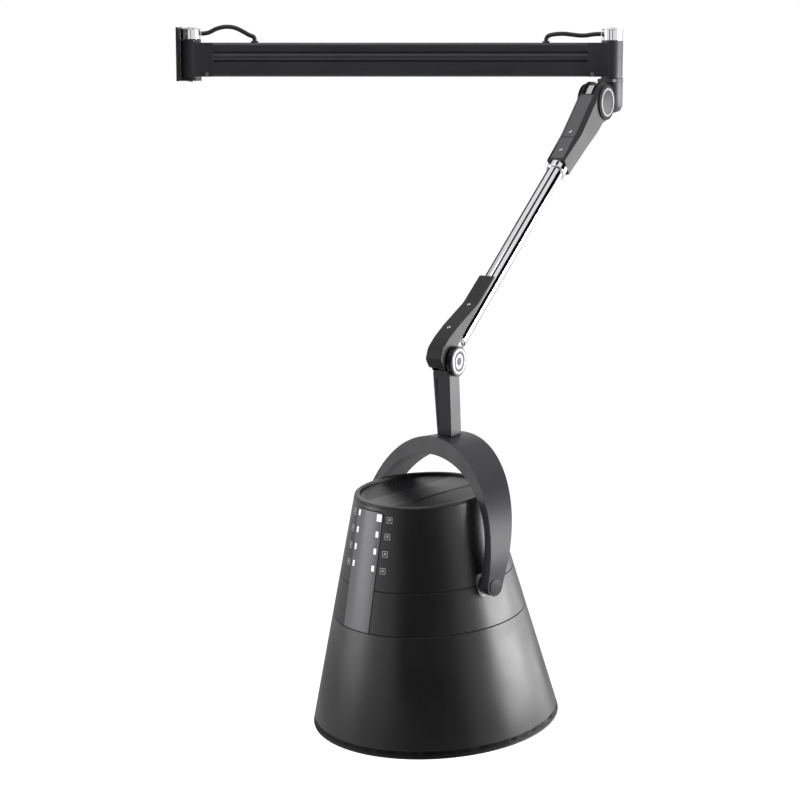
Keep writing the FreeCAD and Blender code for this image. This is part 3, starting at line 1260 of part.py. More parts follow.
def fan_parts():
    duct = turned_solid("duct", rectangle("duct_radius - duct_wall", "duct_radius", "liner_top",
                                          "bridge_low"))
    guard_span = ("liner_roof - guard_thickness", "liner_roof")
    rings = []
    for index in range(int(mm("guard_ring_count"))):
        outer = "(duct_radius - %d * (duct_radius / guard_ring_count))" % index
        rings.append(turned_solid("guard_ring_%d" % index, rectangle(
            "%s - guard_ring_width" % outer, outer, *guard_span)))
    bars = []
    for index in range(2):
        bar = centred_box("guard_bar", ("-duct_radius + past", "duct_radius - past"),
                          "guard_ring_width / 2", guard_span)
        holder = group("guard_bar_turned", [bar])
        holder.Placement = Placement(Vector(), Rotation(up, 90 * index))
        bars.append(holder)
    keep("fan_guard", fuse("fan_guard_solid", *(rings + bars)), HOOD)

    bridge = centred_box("bridge_bar", ("-duct_radius", "duct_radius"), "bridge_half_width",
                         ("bridge_low", "motor_low"))
    shaft_hole = cylinder("bridge_hole", "motor_shaft_radius + bridge_hole_room", "0", "hood_height")
    keep("fan_duct", cut("fan_duct_cut", fuse("fan_duct_solid", duct, bridge), shaft_hole), HOOD)
    shaft_radius = "motor_shaft_radius + running_fit"
    turned("fan_motor", [(shaft_radius, "motor_low"), ("motor_radius", "motor_low"),
                         ("motor_radius", "motor_high - motor_rounding"),
                         ("motor_radius - motor_rounding", "motor_high"), ("0", "motor_high"),
                         ("0", "motor_high - motor_bore_end"),
                         (shaft_radius, "motor_high - motor_bore_end")], HOOD)
    hub = cylinder("rotor_hub", "rotor_hub_radius", "rotor_low", "rotor_low + rotor_height")
    shaft = cylinder("rotor_shaft", "motor_shaft_radius", "rotor_low", "motor_high - motor_shaft_end")
    blades = []
    count = int(mm("blade_count"))
    for index in range(count):
        blade = box("blade", ("rotor_hub_radius - blade_root", "rotor_radius"),
                    ("-blade_thickness / 2", "blade_thickness / 2"),
                    ("-rotor_height / 2 - blade_overhang", "rotor_height / 2 + blade_overhang"))
        holder = group("blade_turned", [blade])
        middle = Vector(0, 0, mm("rotor_low + rotor_height / 2"))
        turn = Rotation(up, 360.0 * index / count).multiply(Rotation(Vector(1, 0, 0), mm("blade_pitch")))
        holder.Placement = Placement(middle, turn)
        blades.append(holder)
    keep("fan_rotor", fuse("fan_rotor_solid", hub, shaft, *blades), HOOD)


# ---------------------------------------------------------------- build, check and export
wall_parts()
beam_parts()
lead_parts()
swivel_parts()
shoulder_parts()
tube_parts()
elbow_parts()
rod_parts()
neck_parts()
yoke_parts()
hood_parts()
panel_parts()
pivot_parts()
liner_parts()
fan_parts()
doc.recompute()

for piece in doc.Objects:
    if "Invalid" in piece.State or "Error" in piece.State:
        raise RuntimeError("failed feature: %s (%s)" % (piece.Name, piece.Label))
for label, piece in nodes.items():
    if piece.Shape.isNull() or not piece.Shape.isValid() or not piece.Shape.Solids:
        raise RuntimeError("bad shape: " + label)

os.makedirs("parts", exist_ok=True)
for label, piece in nodes.items():
    piece.Shape.exportStep("parts/%s.step" % label)
print(len(nodes), "nodes", sum(len(piece.Shape.Solids) for piece in nodes.values()), "solids")
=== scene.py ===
import json
import math

import bmesh
import bpy
from mathutils import Matrix, Vector


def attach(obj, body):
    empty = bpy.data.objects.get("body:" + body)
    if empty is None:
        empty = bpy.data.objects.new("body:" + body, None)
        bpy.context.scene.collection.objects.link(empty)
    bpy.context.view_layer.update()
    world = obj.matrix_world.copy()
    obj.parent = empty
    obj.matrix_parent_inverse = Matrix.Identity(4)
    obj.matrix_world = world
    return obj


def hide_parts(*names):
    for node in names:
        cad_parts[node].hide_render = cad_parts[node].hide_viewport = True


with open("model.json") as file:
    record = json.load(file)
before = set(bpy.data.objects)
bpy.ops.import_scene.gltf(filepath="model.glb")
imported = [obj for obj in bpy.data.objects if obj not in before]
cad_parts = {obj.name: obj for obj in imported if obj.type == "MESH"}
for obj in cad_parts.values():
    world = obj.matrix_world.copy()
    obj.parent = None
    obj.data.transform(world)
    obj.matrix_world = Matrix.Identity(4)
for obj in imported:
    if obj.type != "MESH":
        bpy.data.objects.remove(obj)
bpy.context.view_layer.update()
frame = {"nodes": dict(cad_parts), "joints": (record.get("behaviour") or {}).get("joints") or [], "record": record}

# %% [markdown]
# # A hair color processor on a wall arm
# The real machine hangs on a wall: a beam swings on a wall plate, a balanced arm hangs from the beam's
# end, and a yoke below the arm's elbow carries a heated conical hood. Its joints say where each moving
# group has its own axes, so every piece below is drawn in millimetres in the frame of the group it
# moves with, and is then put in place by one matrix.

# %% Frames of the moving groups
MM = 0.001
joints = {joint["name"]: joint for joint in frame["joints"]}
UP = Vector((0, 0, 1))


def place_of(joint):
    """Place of a joint at rest, in metres of the frame that the whole machine shares."""
    return Vector(joints[joint]["pos_m"])


def frame_at(joint, y_axis, z_axis):
    """Matrix from millimetres in a group's own frame to metres in the shared frame."""
    y_axis, z_axis = Vector(y_axis).normalized(), Vector(z_axis).normalized()
    turn = Matrix((y_axis.cross(z_axis), y_axis, z_axis)).transposed().to_4x4()
    return Matrix.Translation(place_of(joint)) @ turn @ Matrix.Scale(MM, 4)


shoulder, elbow = place_of("arm_pitch"), place_of("elbow_level")
arm_across = Vector(joints["arm_pitch"]["axis"])
hood_across = Vector(joints["hood_tilt"]["axis"])
hood_up = Vector(joints["fan_spin"]["axis"])
along_arm = (elbow - shoulder).normalized()

BEAM = frame_at("wall_swivel", (0, 1, 0), UP)
ARM = frame_at("arm_pitch", arm_across, along_arm.cross(arm_across))
NECK = frame_at("elbow_level", arm_across, UP)
YOKE = frame_at("hood_tilt", hood_across, UP)
HOOD = frame_at("fan_spin", hood_across, hood_up)
ARM_LENGTH = round((elbow - shoulder).length / MM, 1)
BEAM_SPAN = round((place_of("beam_swivel") - place_of("wall_swivel")).x / MM, 1)
print("arm, mm:", ARM_LENGTH, "beam, mm:", BEAM_SPAN)

# %% [markdown]
# ## Camera
# The view is level with the beam and looks a little down, from nearly four metres away with a long
# lens. A long lens keeps the upright lines of the machine almost parallel, as a catalogue view does.

# %% Camera
camera = bpy.data.objects.new("camera", bpy.data.cameras.new("camera"))
bpy.context.scene.collection.objects.link(camera)
camera.location = (0.3855, -3.8069, 0.0713)
camera.rotation_euler = (math.radians(80), 0, 0)
camera.data.sensor_width = 36
camera.data.lens = 97.3
bpy.context.scene.camera = camera
bpy.context.scene.view_settings.view_transform = "Standard"
print("lens, mm:", round(camera.data.lens, 1))

# %% [markdown]
# ## One helper for nodes, one for colours
# Every shader below is a small tree of nodes. One function adds a node with its settings and its
# links, and one function turns a written colour into the linear values that the renderer works with.


# %% Node and colour helpers
def add(tree, kind, settings=(), links=()):
    """Add a node; settings are attributes or input names, links are input name and source socket."""
    node = tree.nodes.new(kind)
    for key, value in dict(settings).items():
        if isinstance(key, str) and hasattr(node, key):
            setattr(node, key, value)
        else:
            node.inputs[key].default_value = value
    for key, source in dict(links).items():
        tree.links.new(source, node.inputs[key])
    return node


def linear(hex_colour):
    """Linear RGBA of a colour written as sRGB hex."""
    parts = [int(hex_colour[i:i + 2], 16) / 255 for i in (1, 3, 5)]
    return [c / 12.92 if c <= 0.04045 else ((c + 0.055) / 1.055) ** 2.4 for c in parts] + [1.0]


# %% [markdown]
# ## World
# The machine is black and chrome, so what it reflects draws its shape. The background is white for
# what the camera and the reflections see, and a plain grey for the light that falls on the machine.
# One Light Path node tells these rays apart, so the white needs no picture and no second lamp.

# %% World
world = bpy.data.worlds.new("studio")
bpy.context.scene.world = world
world.use_nodes = True
sky = world.node_tree
sky.nodes.clear()
rays = add(sky, "ShaderNodeLightPath")
seen = add(sky, "ShaderNodeMath", {"operation": "MAXIMUM"},
           {0: rays.outputs["Is Camera Ray"], 1: rays.outputs["Is Transmission Ray"]})
seen_or_glossy = add(sky, "ShaderNodeMath", {"operation": "MAXIMUM"},
                     {0: seen.outputs[0], 1: rays.outputs["Is Glossy Ray"]})
ambient = add(sky, "ShaderNodeBackground", {"Color": linear("#ffffff"), "Strength": 0.3})
white = add(sky, "ShaderNodeBackground", {"Color": linear("#ffffff"), "Strength": 1.0})
mixed = add(sky, "ShaderNodeMixShader", {}, {0: seen_or_glossy.outputs[0], 1: ambient.outputs[0],
                                             2: white.outputs[0]})
add(sky, "ShaderNodeOutputWorld", {}, {"Surface": mixed.outputs[0]})
print("world nodes:", len(sky.nodes))

# %% [markdown]
# ## Lamps
# A large soft light stands at the right and a weaker one at the left, so the front of every round
# piece stays dark between two bright sides. A third looks down on the beam, and a small one behind
# the right edge brings out the arm's narrow side. They are area lamps, because a glossy black
# surface shows the lamp's own outline as its highlight.

# %% Lamps
MIDDLE = Vector((0.45, -0.35, -0.5))


def lamp(name, place, width, height, power):
    """Soft rectangular light that looks at the middle of the machine."""
    data = bpy.data.lights.new(name, "AREA")
    data.shape = "RECTANGLE"
    data.size, data.size_y, data.energy = width, height, power
    light = bpy.data.objects.new(name, data)
    light.location = place
    light.rotation_euler = (MIDDLE - Vector(place)).to_track_quat("-Z", "Y").to_euler()
    bpy.context.scene.collection.objects.link(light)


lamp("soft_right", (3.6, -0.55, -0.4), 2.3, 1.4, 125)
lamp("rim_right", (3.2, 1.3, -0.85), 1.5, 1.5, 22)
lamp("soft_left", (-2.8, -0.45, 0.0), 1.5, 2.2, 37)
lamp("soft_top", (0.2, -0.9, 2.6), 1.8, 1.8, 26)
print("lamps:", len(bpy.data.lights))

# %% [markdown]
# ## Floor and dark cloth
# Metalwork is shown in a studio between black cloths, because a mirror finish has no look but that of
# its surroundings. Here the cloth stands behind the camera, and narrow strips of it, called flags,
# give the chrome tube its black lines. A Light Path node shows the cloth to reflections alone, so it
# casts no shadow. Floor and cloth are stage pieces: they aren't part of the machine.


# %% Flat stage pieces
def linked(name, mesh):
    """New object in the scene with this mesh or curve."""
    obj = bpy.data.objects.new(name, mesh)
    bpy.context.scene.collection.objects.link(obj)
    return obj


def sheet_of(name, corners, material):
    """Flat four-cornered stage piece."""
    mesh = bpy.data.meshes.new(name)
    mesh.from_pydata(corners, [], [(0, 1, 2, 3)])
    mesh.materials.append(material)
    linked(name, mesh)


def level_sheet(name, low, high, height, material):
    """Level stage piece between two corners in X and Y."""
    (left, front), (right, back) = low, high
    corners = [(left, front, height), (right, front, height), (right, back, height), (left, back, height)]
    sheet_of(name, corners, material)


def stage_material(name):
    """Empty material with its tree and a Light Path node."""
    material = bpy.data.materials.new(name)
    material.use_nodes = True
    material.node_tree.nodes.clear()
    return material, material.node_tree, add(material.node_tree, "ShaderNodeLightPath")


# %% Floor
floor_paint, tree, rays = stage_material("matt_white_floor_paint")
paint = add(tree, "ShaderNodeBsdfDiffuse", {"Color": linear("#f4f4f4")})
glow = add(tree, "ShaderNodeEmission", {"Color": linear("#ffffff"), "Strength": 0.76})
lit = add(tree, "ShaderNodeAddShader", {}, {0: paint.outputs[0], 1: glow.outputs[0]})
plain = add(tree, "ShaderNodeMixShader", {}, {0: rays.outputs["Is Camera Ray"], 1: paint.outputs[0],
                                              2: lit.outputs[0]})
add(tree, "ShaderNodeOutputMaterial", {}, {"Surface": plain.outputs[0]})
FLOOR = -1.9
level_sheet("floor", (-6, -7), (7, 6), FLOOR, floor_paint)
print("floor at, m:", FLOOR)

# %% Dark cloth
cloth, tree, rays = stage_material("black_molton_cloth")
dark = add(tree, "ShaderNodeBsdfDiffuse", {"Color": linear("#101012")})
clear = add(tree, "ShaderNodeBsdfTransparent")
hidden = add(tree, "ShaderNodeMixShader", {}, {0: rays.outputs["Is Glossy Ray"], 1: clear.outputs[0],
                                               2: dark.outputs[0]})
add(tree, "ShaderNodeOutputMaterial", {}, {"Surface": hidden.outputs[0]})
BEHIND_CAMERA, CEILING = -5.2, 3.2


def dark_card(name, low, high):
    """Upright piece of the cloth behind the camera, between two corners in X and Z."""
    (left, foot), (right, top) = low, high
    corners = [(left, BEHIND_CAMERA, foot), (right, BEHIND_CAMERA, foot), (right, BEHIND_CAMERA, top),
               (left, BEHIND_CAMERA, top)]
    sheet_of(name, corners, cloth)


# A slit at the height of the caps lets them reflect white beside two narrow dark bars.
CARD_LEFT, CARD_RIGHT, SLIT_LOW, SLIT_HIGH = -3.6, 3.4, -0.12, 0.16
dark_card("cloth_below", (CARD_LEFT, -3.4), (CARD_RIGHT, SLIT_LOW))
dark_card("cloth_above", (CARD_LEFT, SLIT_HIGH), (CARD_RIGHT, 2.8))
dark_card("cloth_bar_left", (CARD_LEFT, SLIT_LOW), (-2.5, SLIT_HIGH))
dark_card("cloth_bar_right", (0.2, SLIT_LOW), (0.85, SLIT_HIGH))
level_sheet("dark_ceiling", (-3.2, -0.4), (-0.95, 1.7), CEILING, cloth)


# %% Flags
def flag(name, first, last, distance=2.6):
    """Dark strip that the tube reflects between two angles round it."""
    corners = []
    high, low = shoulder.lerp(elbow, -0.2), shoulder.lerp(elbow, 1.2)
    for angle, spot in ((first, high), (last, high), (last, low), (first, low)):
        looking = (spot - camera.location).normalized()
        facing = (-looking + along_arm * looking.dot(along_arm)).normalized()
        turn = math.radians(angle)
        normal = facing * math.cos(turn) + facing.cross(along_arm) * math.sin(turn)
        corners.append(spot + (looking - normal * 2 * looking.dot(normal)) * distance)
    sheet_of(name, corners, cloth)


FLAGS = {"flag_edge": (-68, -53), "flag_left": (-21, -9), "flag_right": (13, 37)}
for name, (first, last) in FLAGS.items():
    flag(name, first, last)
print("flags:", len(FLAGS))


# %% [markdown]
# ## Finishes
# Nearly every surface here is one of a few industrial finishes: moulded plastic with a fine
# spark-eroded grain, powder coat with its slight orange peel, chrome plate on a polished tube, turned
# steel. They share one recipe: a fine noise gives the grain its bump, and a broad one varies the
# gloss a little, as handling and moulding do. The scales come from the real grain in millimetres.

# %% Recipe for a grained surface
def grained(name, colour, roughness, grain_mm, bump_mm, metallic=0.0, patch_mm=60.0, vary=0.05,
            stretch=(1, 1, 1), **shader):
    """Surface with a fine grain in its height and broad patches in its gloss and colour."""
    material = bpy.data.materials.new(name)
    material.use_nodes = True
    tree = material.node_tree
    tree.nodes.clear()
    place = add(tree, "ShaderNodeTexCoord")
    pull = add(tree, "ShaderNodeMapping", {"Scale": stretch}, {"Vector": place.outputs["Object"]})
    grain = add(tree, "ShaderNodeTexNoise", {"Scale": 1 / (grain_mm * MM), "Detail": 3.0},
                {"Vector": pull.outputs[0]})
    patch = add(tree, "ShaderNodeTexNoise", {"Scale": 1 / (patch_mm * MM), "Detail": 4.0},
                {"Vector": pull.outputs[0]})
    # The noise lies mostly between 0.3 and 0.7.
    gloss = add(tree, "ShaderNodeMapRange", {"To Min": roughness - vary, "To Max": roughness + vary,
                                             "From Min": 0.3, "From Max": 0.7}, {"Value": patch.outputs[0]})
    base = linear(colour)
    worn = [min(1.0, c * 1.12 + 0.002) for c in base[:3]] + [1.0]
    # A Mix node's two colours are its inputs 6 and 7, and their mixture is its output 2.
    tint = add(tree, "ShaderNodeMix", {"data_type": "RGBA", 6: base, 7: worn}, {0: patch.outputs[0]})
    height = add(tree, "ShaderNodeBump", {"Strength": 0.6, "Distance": bump_mm * MM},
                 {"Height": grain.outputs[0]})
    body = add(tree, "ShaderNodeBsdfPrincipled", {"Metallic": metallic, **shader},
               {"Base Color": tint.outputs[2], "Roughness": gloss.outputs[0], "Normal": height.outputs[0]})
    add(tree, "ShaderNodeOutputMaterial", {}, {"Surface": body.outputs[0]})
    return material


# %% [markdown]
# ## The finishes, one by one
# Colour, roughness, grain and height of the grain are what a sample of the material would measure.
# Plastics and coats are dielectric: only their roughness and their reflection level differ. Metals
# take their colour from the metal itself and keep the default index of refraction.

# %% Coats and mouldings
# Powder coat: polyester baked on cast aluminium, a satin skin with a peel about 1.5 mm wide.
powder_coat = grained("satin_black_powder_coat", "#2c2c30", 0.38, 1.5, 0.03)
# The yoke's coat is more matt, which keeps its broad sides even, and the wall plate's is darker.
yoke_coat = grained("matt_black_powder_coat", "#2a2a2e", 0.42, 1.5, 0.03, **{"Specular IOR Level": 0.32})
plate_coat = grained("deep_black_powder_coat", "#0e0e10", 0.45, 1.5, 0.03)
# ABS from an eroded mould: satin, with a half-millimetre grain that softens each highlight.
moulded_black = grained("moulded_black_abs", "#0d0d10", 0.35, 0.6, 0.012)
# The arm's covers are the same plastic in graphite grey, its casing is charcoal, its elbow matt.
moulded_grey = grained("moulded_graphite_abs", "#58585b", 0.4, 0.6, 0.012)
charcoal = grained("moulded_charcoal_abs", "#131315", 0.38, 0.6, 0.012, **{"Specular IOR Level": 0.4})
elbow_black = grained("matt_moulded_black_abs", "#0c0c0e", 0.4, 0.6, 0.012, **{"Specular IOR Level": 0.36})

# %% Metals
# Chrome plate on a drawn and polished tube: a mirror, with faint waves that the polishing leaves.
chrome = grained("polished_chrome_plate", "#d6d6d8", 0.06, 40.0, 0.02, metallic=1.0, vary=0.02)
# Turned steel is bright and blurs what it reflects; cast aluminium is duller, with a sandy skin.
turned_steel = grained("turned_steel", "#b4b4b6", 0.28, 0.3, 0.006, metallic=1.0)
cast_alloy = grained("sand_cast_aluminium", "#7c7c80", 0.5, 1.0, 0.05, metallic=1.0)
# Oil in the pores of a sintered bush makes it a deep matt brown.
bronze = grained("oiled_sintered_bronze", "#4c3d2a", 0.45, 0.3, 0.006, metallic=1.0)

# %% Sleeving and inner pieces
# PVC sleeving has a dull skin; the mouldings near the heaters are greyer and rougher than the shells.
rubber = grained("black_pvc_sleeving", "#161618", 0.45, 0.5, 0.02)
inner_plastic = grained("heat_resistant_moulding", "#3a3a3c", 0.5, 0.6, 0.015)
# Solder mask is a thin glossy green lacquer on a smooth board.
circuit = grained("solder_masked_circuit_board", "#0d3a1c", 0.35, 0.4, 0.01)
# A spun reflector shows the tool's rings, so its grain is pressed flat in height.
liner_alloy = grained("spun_aluminium_reflector", "#c9c9cb", 0.3, 0.4, 0.008, metallic=1.0,
                      stretch=(1, 1, 8))
# Glazed steatite is cream and glossy, as all heater holders are.
ceramic = grained("glazed_steatite", "#e4dfd2", 0.25, 0.5, 0.01)
# Zinc plate is paler and evener than bare steel, and blackened steel is a dark metal, not a paint.
motor_steel = grained("zinc_plated_sheet", "#9a9c9e", 0.34, 0.6, 0.01, metallic=1.0)
# The panel's film is smooth and has a clear coat, which gives it a second, sharper reflection.
smoked_panel = grained("glossy_panel_film", "#4e4e52", 0.34, 0.8, 0.002, vary=0.02,
                       **{"Coat Weight": 0.25, "Coat Roughness": 0.2})
blackened_steel = grained("blackened_steel", "#3c3c3e", 0.34, 0.4, 0.006, metallic=1.0)
# Opal acrylic spreads the light of the diode behind it, so a window glows evenly.
lit_window = grained("lit_opal_acrylic", "#f2f2f2", 0.25, 0.5, 0.005,
                     **{"Emission Color": linear("#ffffff"), "Emission Strength": 0.5})
printed_white = grained("screen_printed_white", "#e2e2e4", 0.45, 0.4, 0.005)
# The quartz of an infra-red tube is clear, and the coil in it tints it orange.
heater_glass = grained("heated_quartz_tube", "#c98f6a", 0.08, 0.6, 0.003, vary=0.02,
                       **{"Transmission Weight": 0.4})
# Behind seams and under discs the same black plastic gets painted shade: a darker colour and a low reflection
# stand for the shadow it lies in.
painted_shade_black = grained("black_moulding_painted_shade", "#0a0a0b", 0.6, 0.6, 0.012, **{"Specular IOR Level": 0.2})

# %% Finishes on the CAD nodes
SLOT_FINISH = {
    "black_powder_coat": powder_coat, "black_plastic": moulded_black, "grey_plastic": moulded_grey,
    "chrome": chrome, "steel": turned_steel, "cast_alloy": cast_alloy, "bronze": bronze,
    "black_rubber": rubber, "inner_plastic": inner_plastic, "panel_gloss": smoked_panel,
    "window_white": lit_window, "board_green": circuit, "liner_alloy": liner_alloy,
    "heater_glass": heater_glass, "holder_ceramic": ceramic, "motor_steel": motor_steel,
}
slot_of = {part["node"]: part["material_slot"] for part in frame["record"]["subparts"]}
body_of = {name: body for body, names in frame["record"]["behaviour"]["bodies"].items() for name in names}
for name, node in frame["nodes"].items():
    for holder in node.material_slots:
        holder.material = SLOT_FINISH[slot_of[name]]
print("finishes:", len(bpy.data.materials))


# %% [markdown]
# ## Helpers for shapes
# Most pieces are either turned, with a profile that goes round an axis, or cut from plate, with an
# outline that gets a thickness. Sharp edges look false because real ones are always broken, so
# each corner of a profile is rounded when it is drawn, and plates get a Bevel modifier.

# %% Outlines
def rectangle(left, foot, right, top):
    """Outline of a rectangle between two corners."""
    return [(left, foot), (right, foot), (right, top), (left, top)]


def even(first, last, steps):
    """Values from first to last in even steps."""
    return [first + (last - first) * i / steps for i in range(steps + 1)]


def bent(start, corner, end, steps):
    """Points on a parabola from start to end that is drawn towards a corner."""
    spans = [i / steps for i in range(steps + 1)]
    return [tuple(start * (1 - t) ** 2 + corner * 2 * t * (1 - t) + end * t ** 2) for t in spans]


def eased(outline, radius, steps=3):
    """Closed outline with its corners rounded."""
    points = []
    count = len(outline)
    for i, corner in enumerate(outline):
        here = Vector(corner)
        before, after = Vector(outline[i - 1]) - here, Vector(outline[(i + 1) % count]) - here
        if before.length < 1e-6 or after.length < 1e-6 or abs(here.x) < 1e-6:
            points.append(tuple(here))
            continue
        reach = min(radius, before.length * 0.45, after.length * 0.45)
        start, end = here + before.normalized() * reach, here + after.normalized() * reach
        points += bent(start, here, end, steps)
    return points


def arc(centre, radius, first, last, steps=24):
    """Points on a circle between two angles in degrees."""
    span = [math.radians(angle) for angle in even(first, last, steps)]
    return [(centre[0] + radius * math.cos(a), centre[1] + radius * math.sin(a)) for a in span]


# %% Solids from outlines
def turned(profile, steps=128):
    """Points and faces of a profile of (radius, height) turned about Z."""
    count = len(profile)
    points = [(r * math.cos(2 * math.pi * i / steps), r * math.sin(2 * math.pi * i / steps), z)
              for i in range(steps) for r, z in profile]
    faces = [(i * count + j, (i + 1) % steps * count + j, (i + 1) % steps * count + (j + 1) % count,
              i * count + (j + 1) % count) for i in range(steps) for j in range(count)]
    return points, faces


def strips(rows, closed=True):
    """Band of faces between each two neighbouring rows of point numbers."""
    faces = []
    for low, high in zip(rows, rows[1:]):
        count = len(low)
        steps = count if closed else count - 1
        faces += [(low[i], low[(i + 1) % count], high[(i + 1) % count], high[i]) for i in range(steps)]
    return faces


def lofted(sections, capped=True):
    """Points and faces of closed outlines in space, each joined to the next one."""
    count = len(sections[0])
    rows = [range(k * count, (k + 1) * count) for k in range(len(sections))]
    ends = [tuple(rows[0]), tuple(rows[-1])] if capped else []
    return [point for section in sections for point in section], ends + strips(rows)


def slab(outline, low, high, axis=1):
    """Points and faces of an outline given a thickness along one of the three axes."""
    order = {0: lambda u, v, w: (w, u, v), 1: lambda u, v, w: (u, w, v), 2: lambda u, v, w: (u, v, w)}[axis]
    return lofted([[order(u, v, w) for u, v in outline] for w in (low, high)])


def joined(*shapes):
    """Several shapes as one list of points and one of faces."""
    points, faces = [], []
    for more_points, more_faces in shapes:
        start = len(points)
        points += more_points
        faces += [tuple(start + i for i in face) for face in more_faces]
    return points, faces


def moved(shape, matrix):
    """The shape, turned and moved by a matrix."""
    return [tuple(matrix @ Vector(point)) for point in shape[0]], shape[1]


# Turns that lay a turned shape along +X, +Y or -Y.
ALONG_X = Matrix.Rotation(math.radians(90), 4, "Y")
ALONG_Y = Matrix.Rotation(math.radians(-90), 4, "X")
AGAINST_Y = Matrix.Rotation(math.radians(90), 4, "X")


# %% [markdown]
# ## From shapes to pieces
# A piece is one mesh at the origin that rides on one body of the machine. It may stand for a CAD
# node, which is then hidden, or lie over one. The same function gives each piece its finish, its
# smooth shading with sharp edges kept, and its broken edges.


# %% Pieces
def clean(mesh):
    """Merge what coincides and turn every face outwards."""
    work = bmesh.new()
    work.from_mesh(mesh)
    bmesh.ops.remove_doubles(work, verts=work.verts, dist=1e-6)
    bmesh.ops.dissolve_degenerate(work, edges=work.edges, dist=1e-7)
    bmesh.ops.recalc_face_normals(work, faces=work.faces)
    work.to_mesh(mesh)
    work.free()


def finished(obj, material, body, stands_for=(), edge=0.0, smooth=30, segments=2):
    """Give an object its finish, its shading, its broken edges and the body it rides on."""
    mesh = obj.data
    mesh.materials.clear()
    mesh.materials.append(material)
    for face in mesh.polygons:
        face.use_smooth = True
    mesh.set_sharp_from_angle(angle=math.radians(smooth))
    if edge:
        bevel = obj.modifiers.new("broken_edges", "BEVEL")
        bevel.width = edge * MM
        bevel.segments = segments
        bevel.limit_method = "ANGLE"
        bevel.angle_limit = math.radians(smooth)
        bevel.harden_normals = True
    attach(obj, body)
    if stands_for:
        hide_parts(*stands_for)
    return obj


def piece(name, shape, place, material, body, stands_for=(), **look):
    """New piece from points and faces in millimetres."""
    mesh = bpy.data.meshes.new(name)
    mesh.from_pydata(shape[0], [], shape[1])
    mesh.transform(place)
    clean(mesh)
    return finished(linked(name, mesh), material, body, stands_for, **look)


def softened(node, material, edge=0.8):
    """Copy of a CAD node with merged faces and broken edges, which stands for it."""
    mesh = frame["nodes"][node].data.copy()
    work = bmesh.new()
    work.from_mesh(mesh)
    bmesh.ops.remove_doubles(work, verts=work.verts, dist=2e-6)
    bmesh.ops.dissolve_limit(work, angle_limit=math.radians(0.5), verts=work.verts, edges=work.edges)
    bmesh.ops.recalc_face_normals(work, faces=work.faces)
    work.to_mesh(mesh)
    work.free()
    return finished(linked(node + "_skin", mesh), material, body_of[node], (node,), edge=edge)


# %% [markdown]
# ## The hood's shells
# The hood is a cone of three moulded rings with a thin dark seam between them, a lip at the bottom
# and a rolled rim at the top. A turned profile is the natural way to draw what a round mould makes.
# Behind each seam lies a ring in painted shade, which stands for the shadow in the real overlap.

# %% Cone
CONE_FOOT, CONE_SLOPE = 195.0, 90 / 369      # radius at the mouth, and what it loses with height
LIP_TOP, LOWER_TOP, MIDDLE_TOP, UPPER_TOP, RIM_TOP = 5.0, 178.6, 243.0, 365.9, 369.0
SEAM = 0.5                                   # half of what a seam opens
WALL = 2.6


def cone(height):
    """Radius of the hood's outside at a height."""
    return CONE_FOOT - CONE_SLOPE * height


def ring(low, high, wall=WALL, inset=0.0):
    """Outline of a ring of the cone, or of one set in behind it."""
    return [(cone(low) - wall - inset, low), (cone(low) - inset, low),
            (cone(high) - inset, high), (cone(high) - wall - inset, high)]


# %% Lip, bottom ring and seams
LIP_DEPTH, LIP_ROUND = 9.0, 1.6
lip = [(cone(0) - LIP_DEPTH, 0), (cone(0) - 0.4, 0), (cone(LIP_TOP), LIP_TOP),
       (cone(LIP_TOP) - LIP_DEPTH, LIP_TOP)]
piece("bottom_lip", turned(eased(lip, LIP_ROUND, 5)), HOOD, moulded_black, "hood", ("hood_rim",))
lower_ring = ring(LIP_TOP + 0.9, LOWER_TOP - SEAM)
piece("lower_shell", turned(eased(lower_ring, 0.6)), HOOD, moulded_black, "hood", ("hood_lower",))
# low, high, wall and inset of the rings in painted shade behind the lip and the two seams
seam_rings = ((3, 12, 4.6, 0.0), (172, 185, 1.6, 2.4), (237, 249, 1.6, 2.9))
piece("seam_lips", joined(*[turned(ring(*sizes)) for sizes in seam_rings]), HOOD, painted_shade_black, "hood")
print("mouth, mm:", 2 * cone(0), "top, mm:", 2 * cone(RIM_TOP))

# %% [markdown]
# ## Rings round the panel
# The two upper rings leave room for the control panel, whose sides are parallel while the cone
# narrows. A Boolean cut would leave ragged faces on the cone, so each ring is drawn as a grid whose
# first and last columns follow the panel's edge. Solidify gives the grid its wall.

# %% Panel opening
PANEL_HALF, PANEL_TOP, PANEL_CORNER = 30.6, 360.6, 7.0
PANEL_BEND = PANEL_TOP - PANEL_CORNER        # where the rounded corners start


def panel_edge(height):
    """Half width of the panel's opening at a height, with rounded upper corners."""
    over = height - PANEL_BEND
    if over <= 0:
        return PANEL_HALF
    return PANEL_HALF - PANEL_CORNER + math.sqrt(max(0.0, PANEL_CORNER ** 2 - over ** 2))


def corner_rows(radius, steps=6):
    """Heights round the opening's upper corners, close together where the edge turns fast."""
    return [PANEL_BEND + radius * math.sin(math.radians(90 * i / steps)) for i in range(1, steps + 1)]


# %% Grid of the cone
def row_round(height, gap, columns, across=0):
    """Points round the cone from one side of a gap to the other, and then over it in steps."""
    angles = even(gap, 2 * math.pi - gap, columns)
    angles += [-gap + 2 * gap * i / across for i in range(1, across)]
    return [(cone(height) * math.cos(a), cone(height) * math.sin(a), height) for a in angles]


def shell_round_panel(heights, closing=(), columns=160, across=12):
    """Grid of the cone that leaves the panel's opening free at heights, and goes all round above."""
    points, open_rows, closed_rows = [], [], []
    for height in heights:
        gap = math.asin(panel_edge(height) / cone(height))
        open_rows.append(range(len(points), len(points) + columns + 1))
        points += row_round(height, gap, columns)
    if closing:
        for height in (heights[-1], *closing):
            closed_rows.append(range(len(points), len(points) + columns + across))
            points += row_round(height, gap, columns, across)
    return points, strips(open_rows, closed=False) + strips(closed_rows)


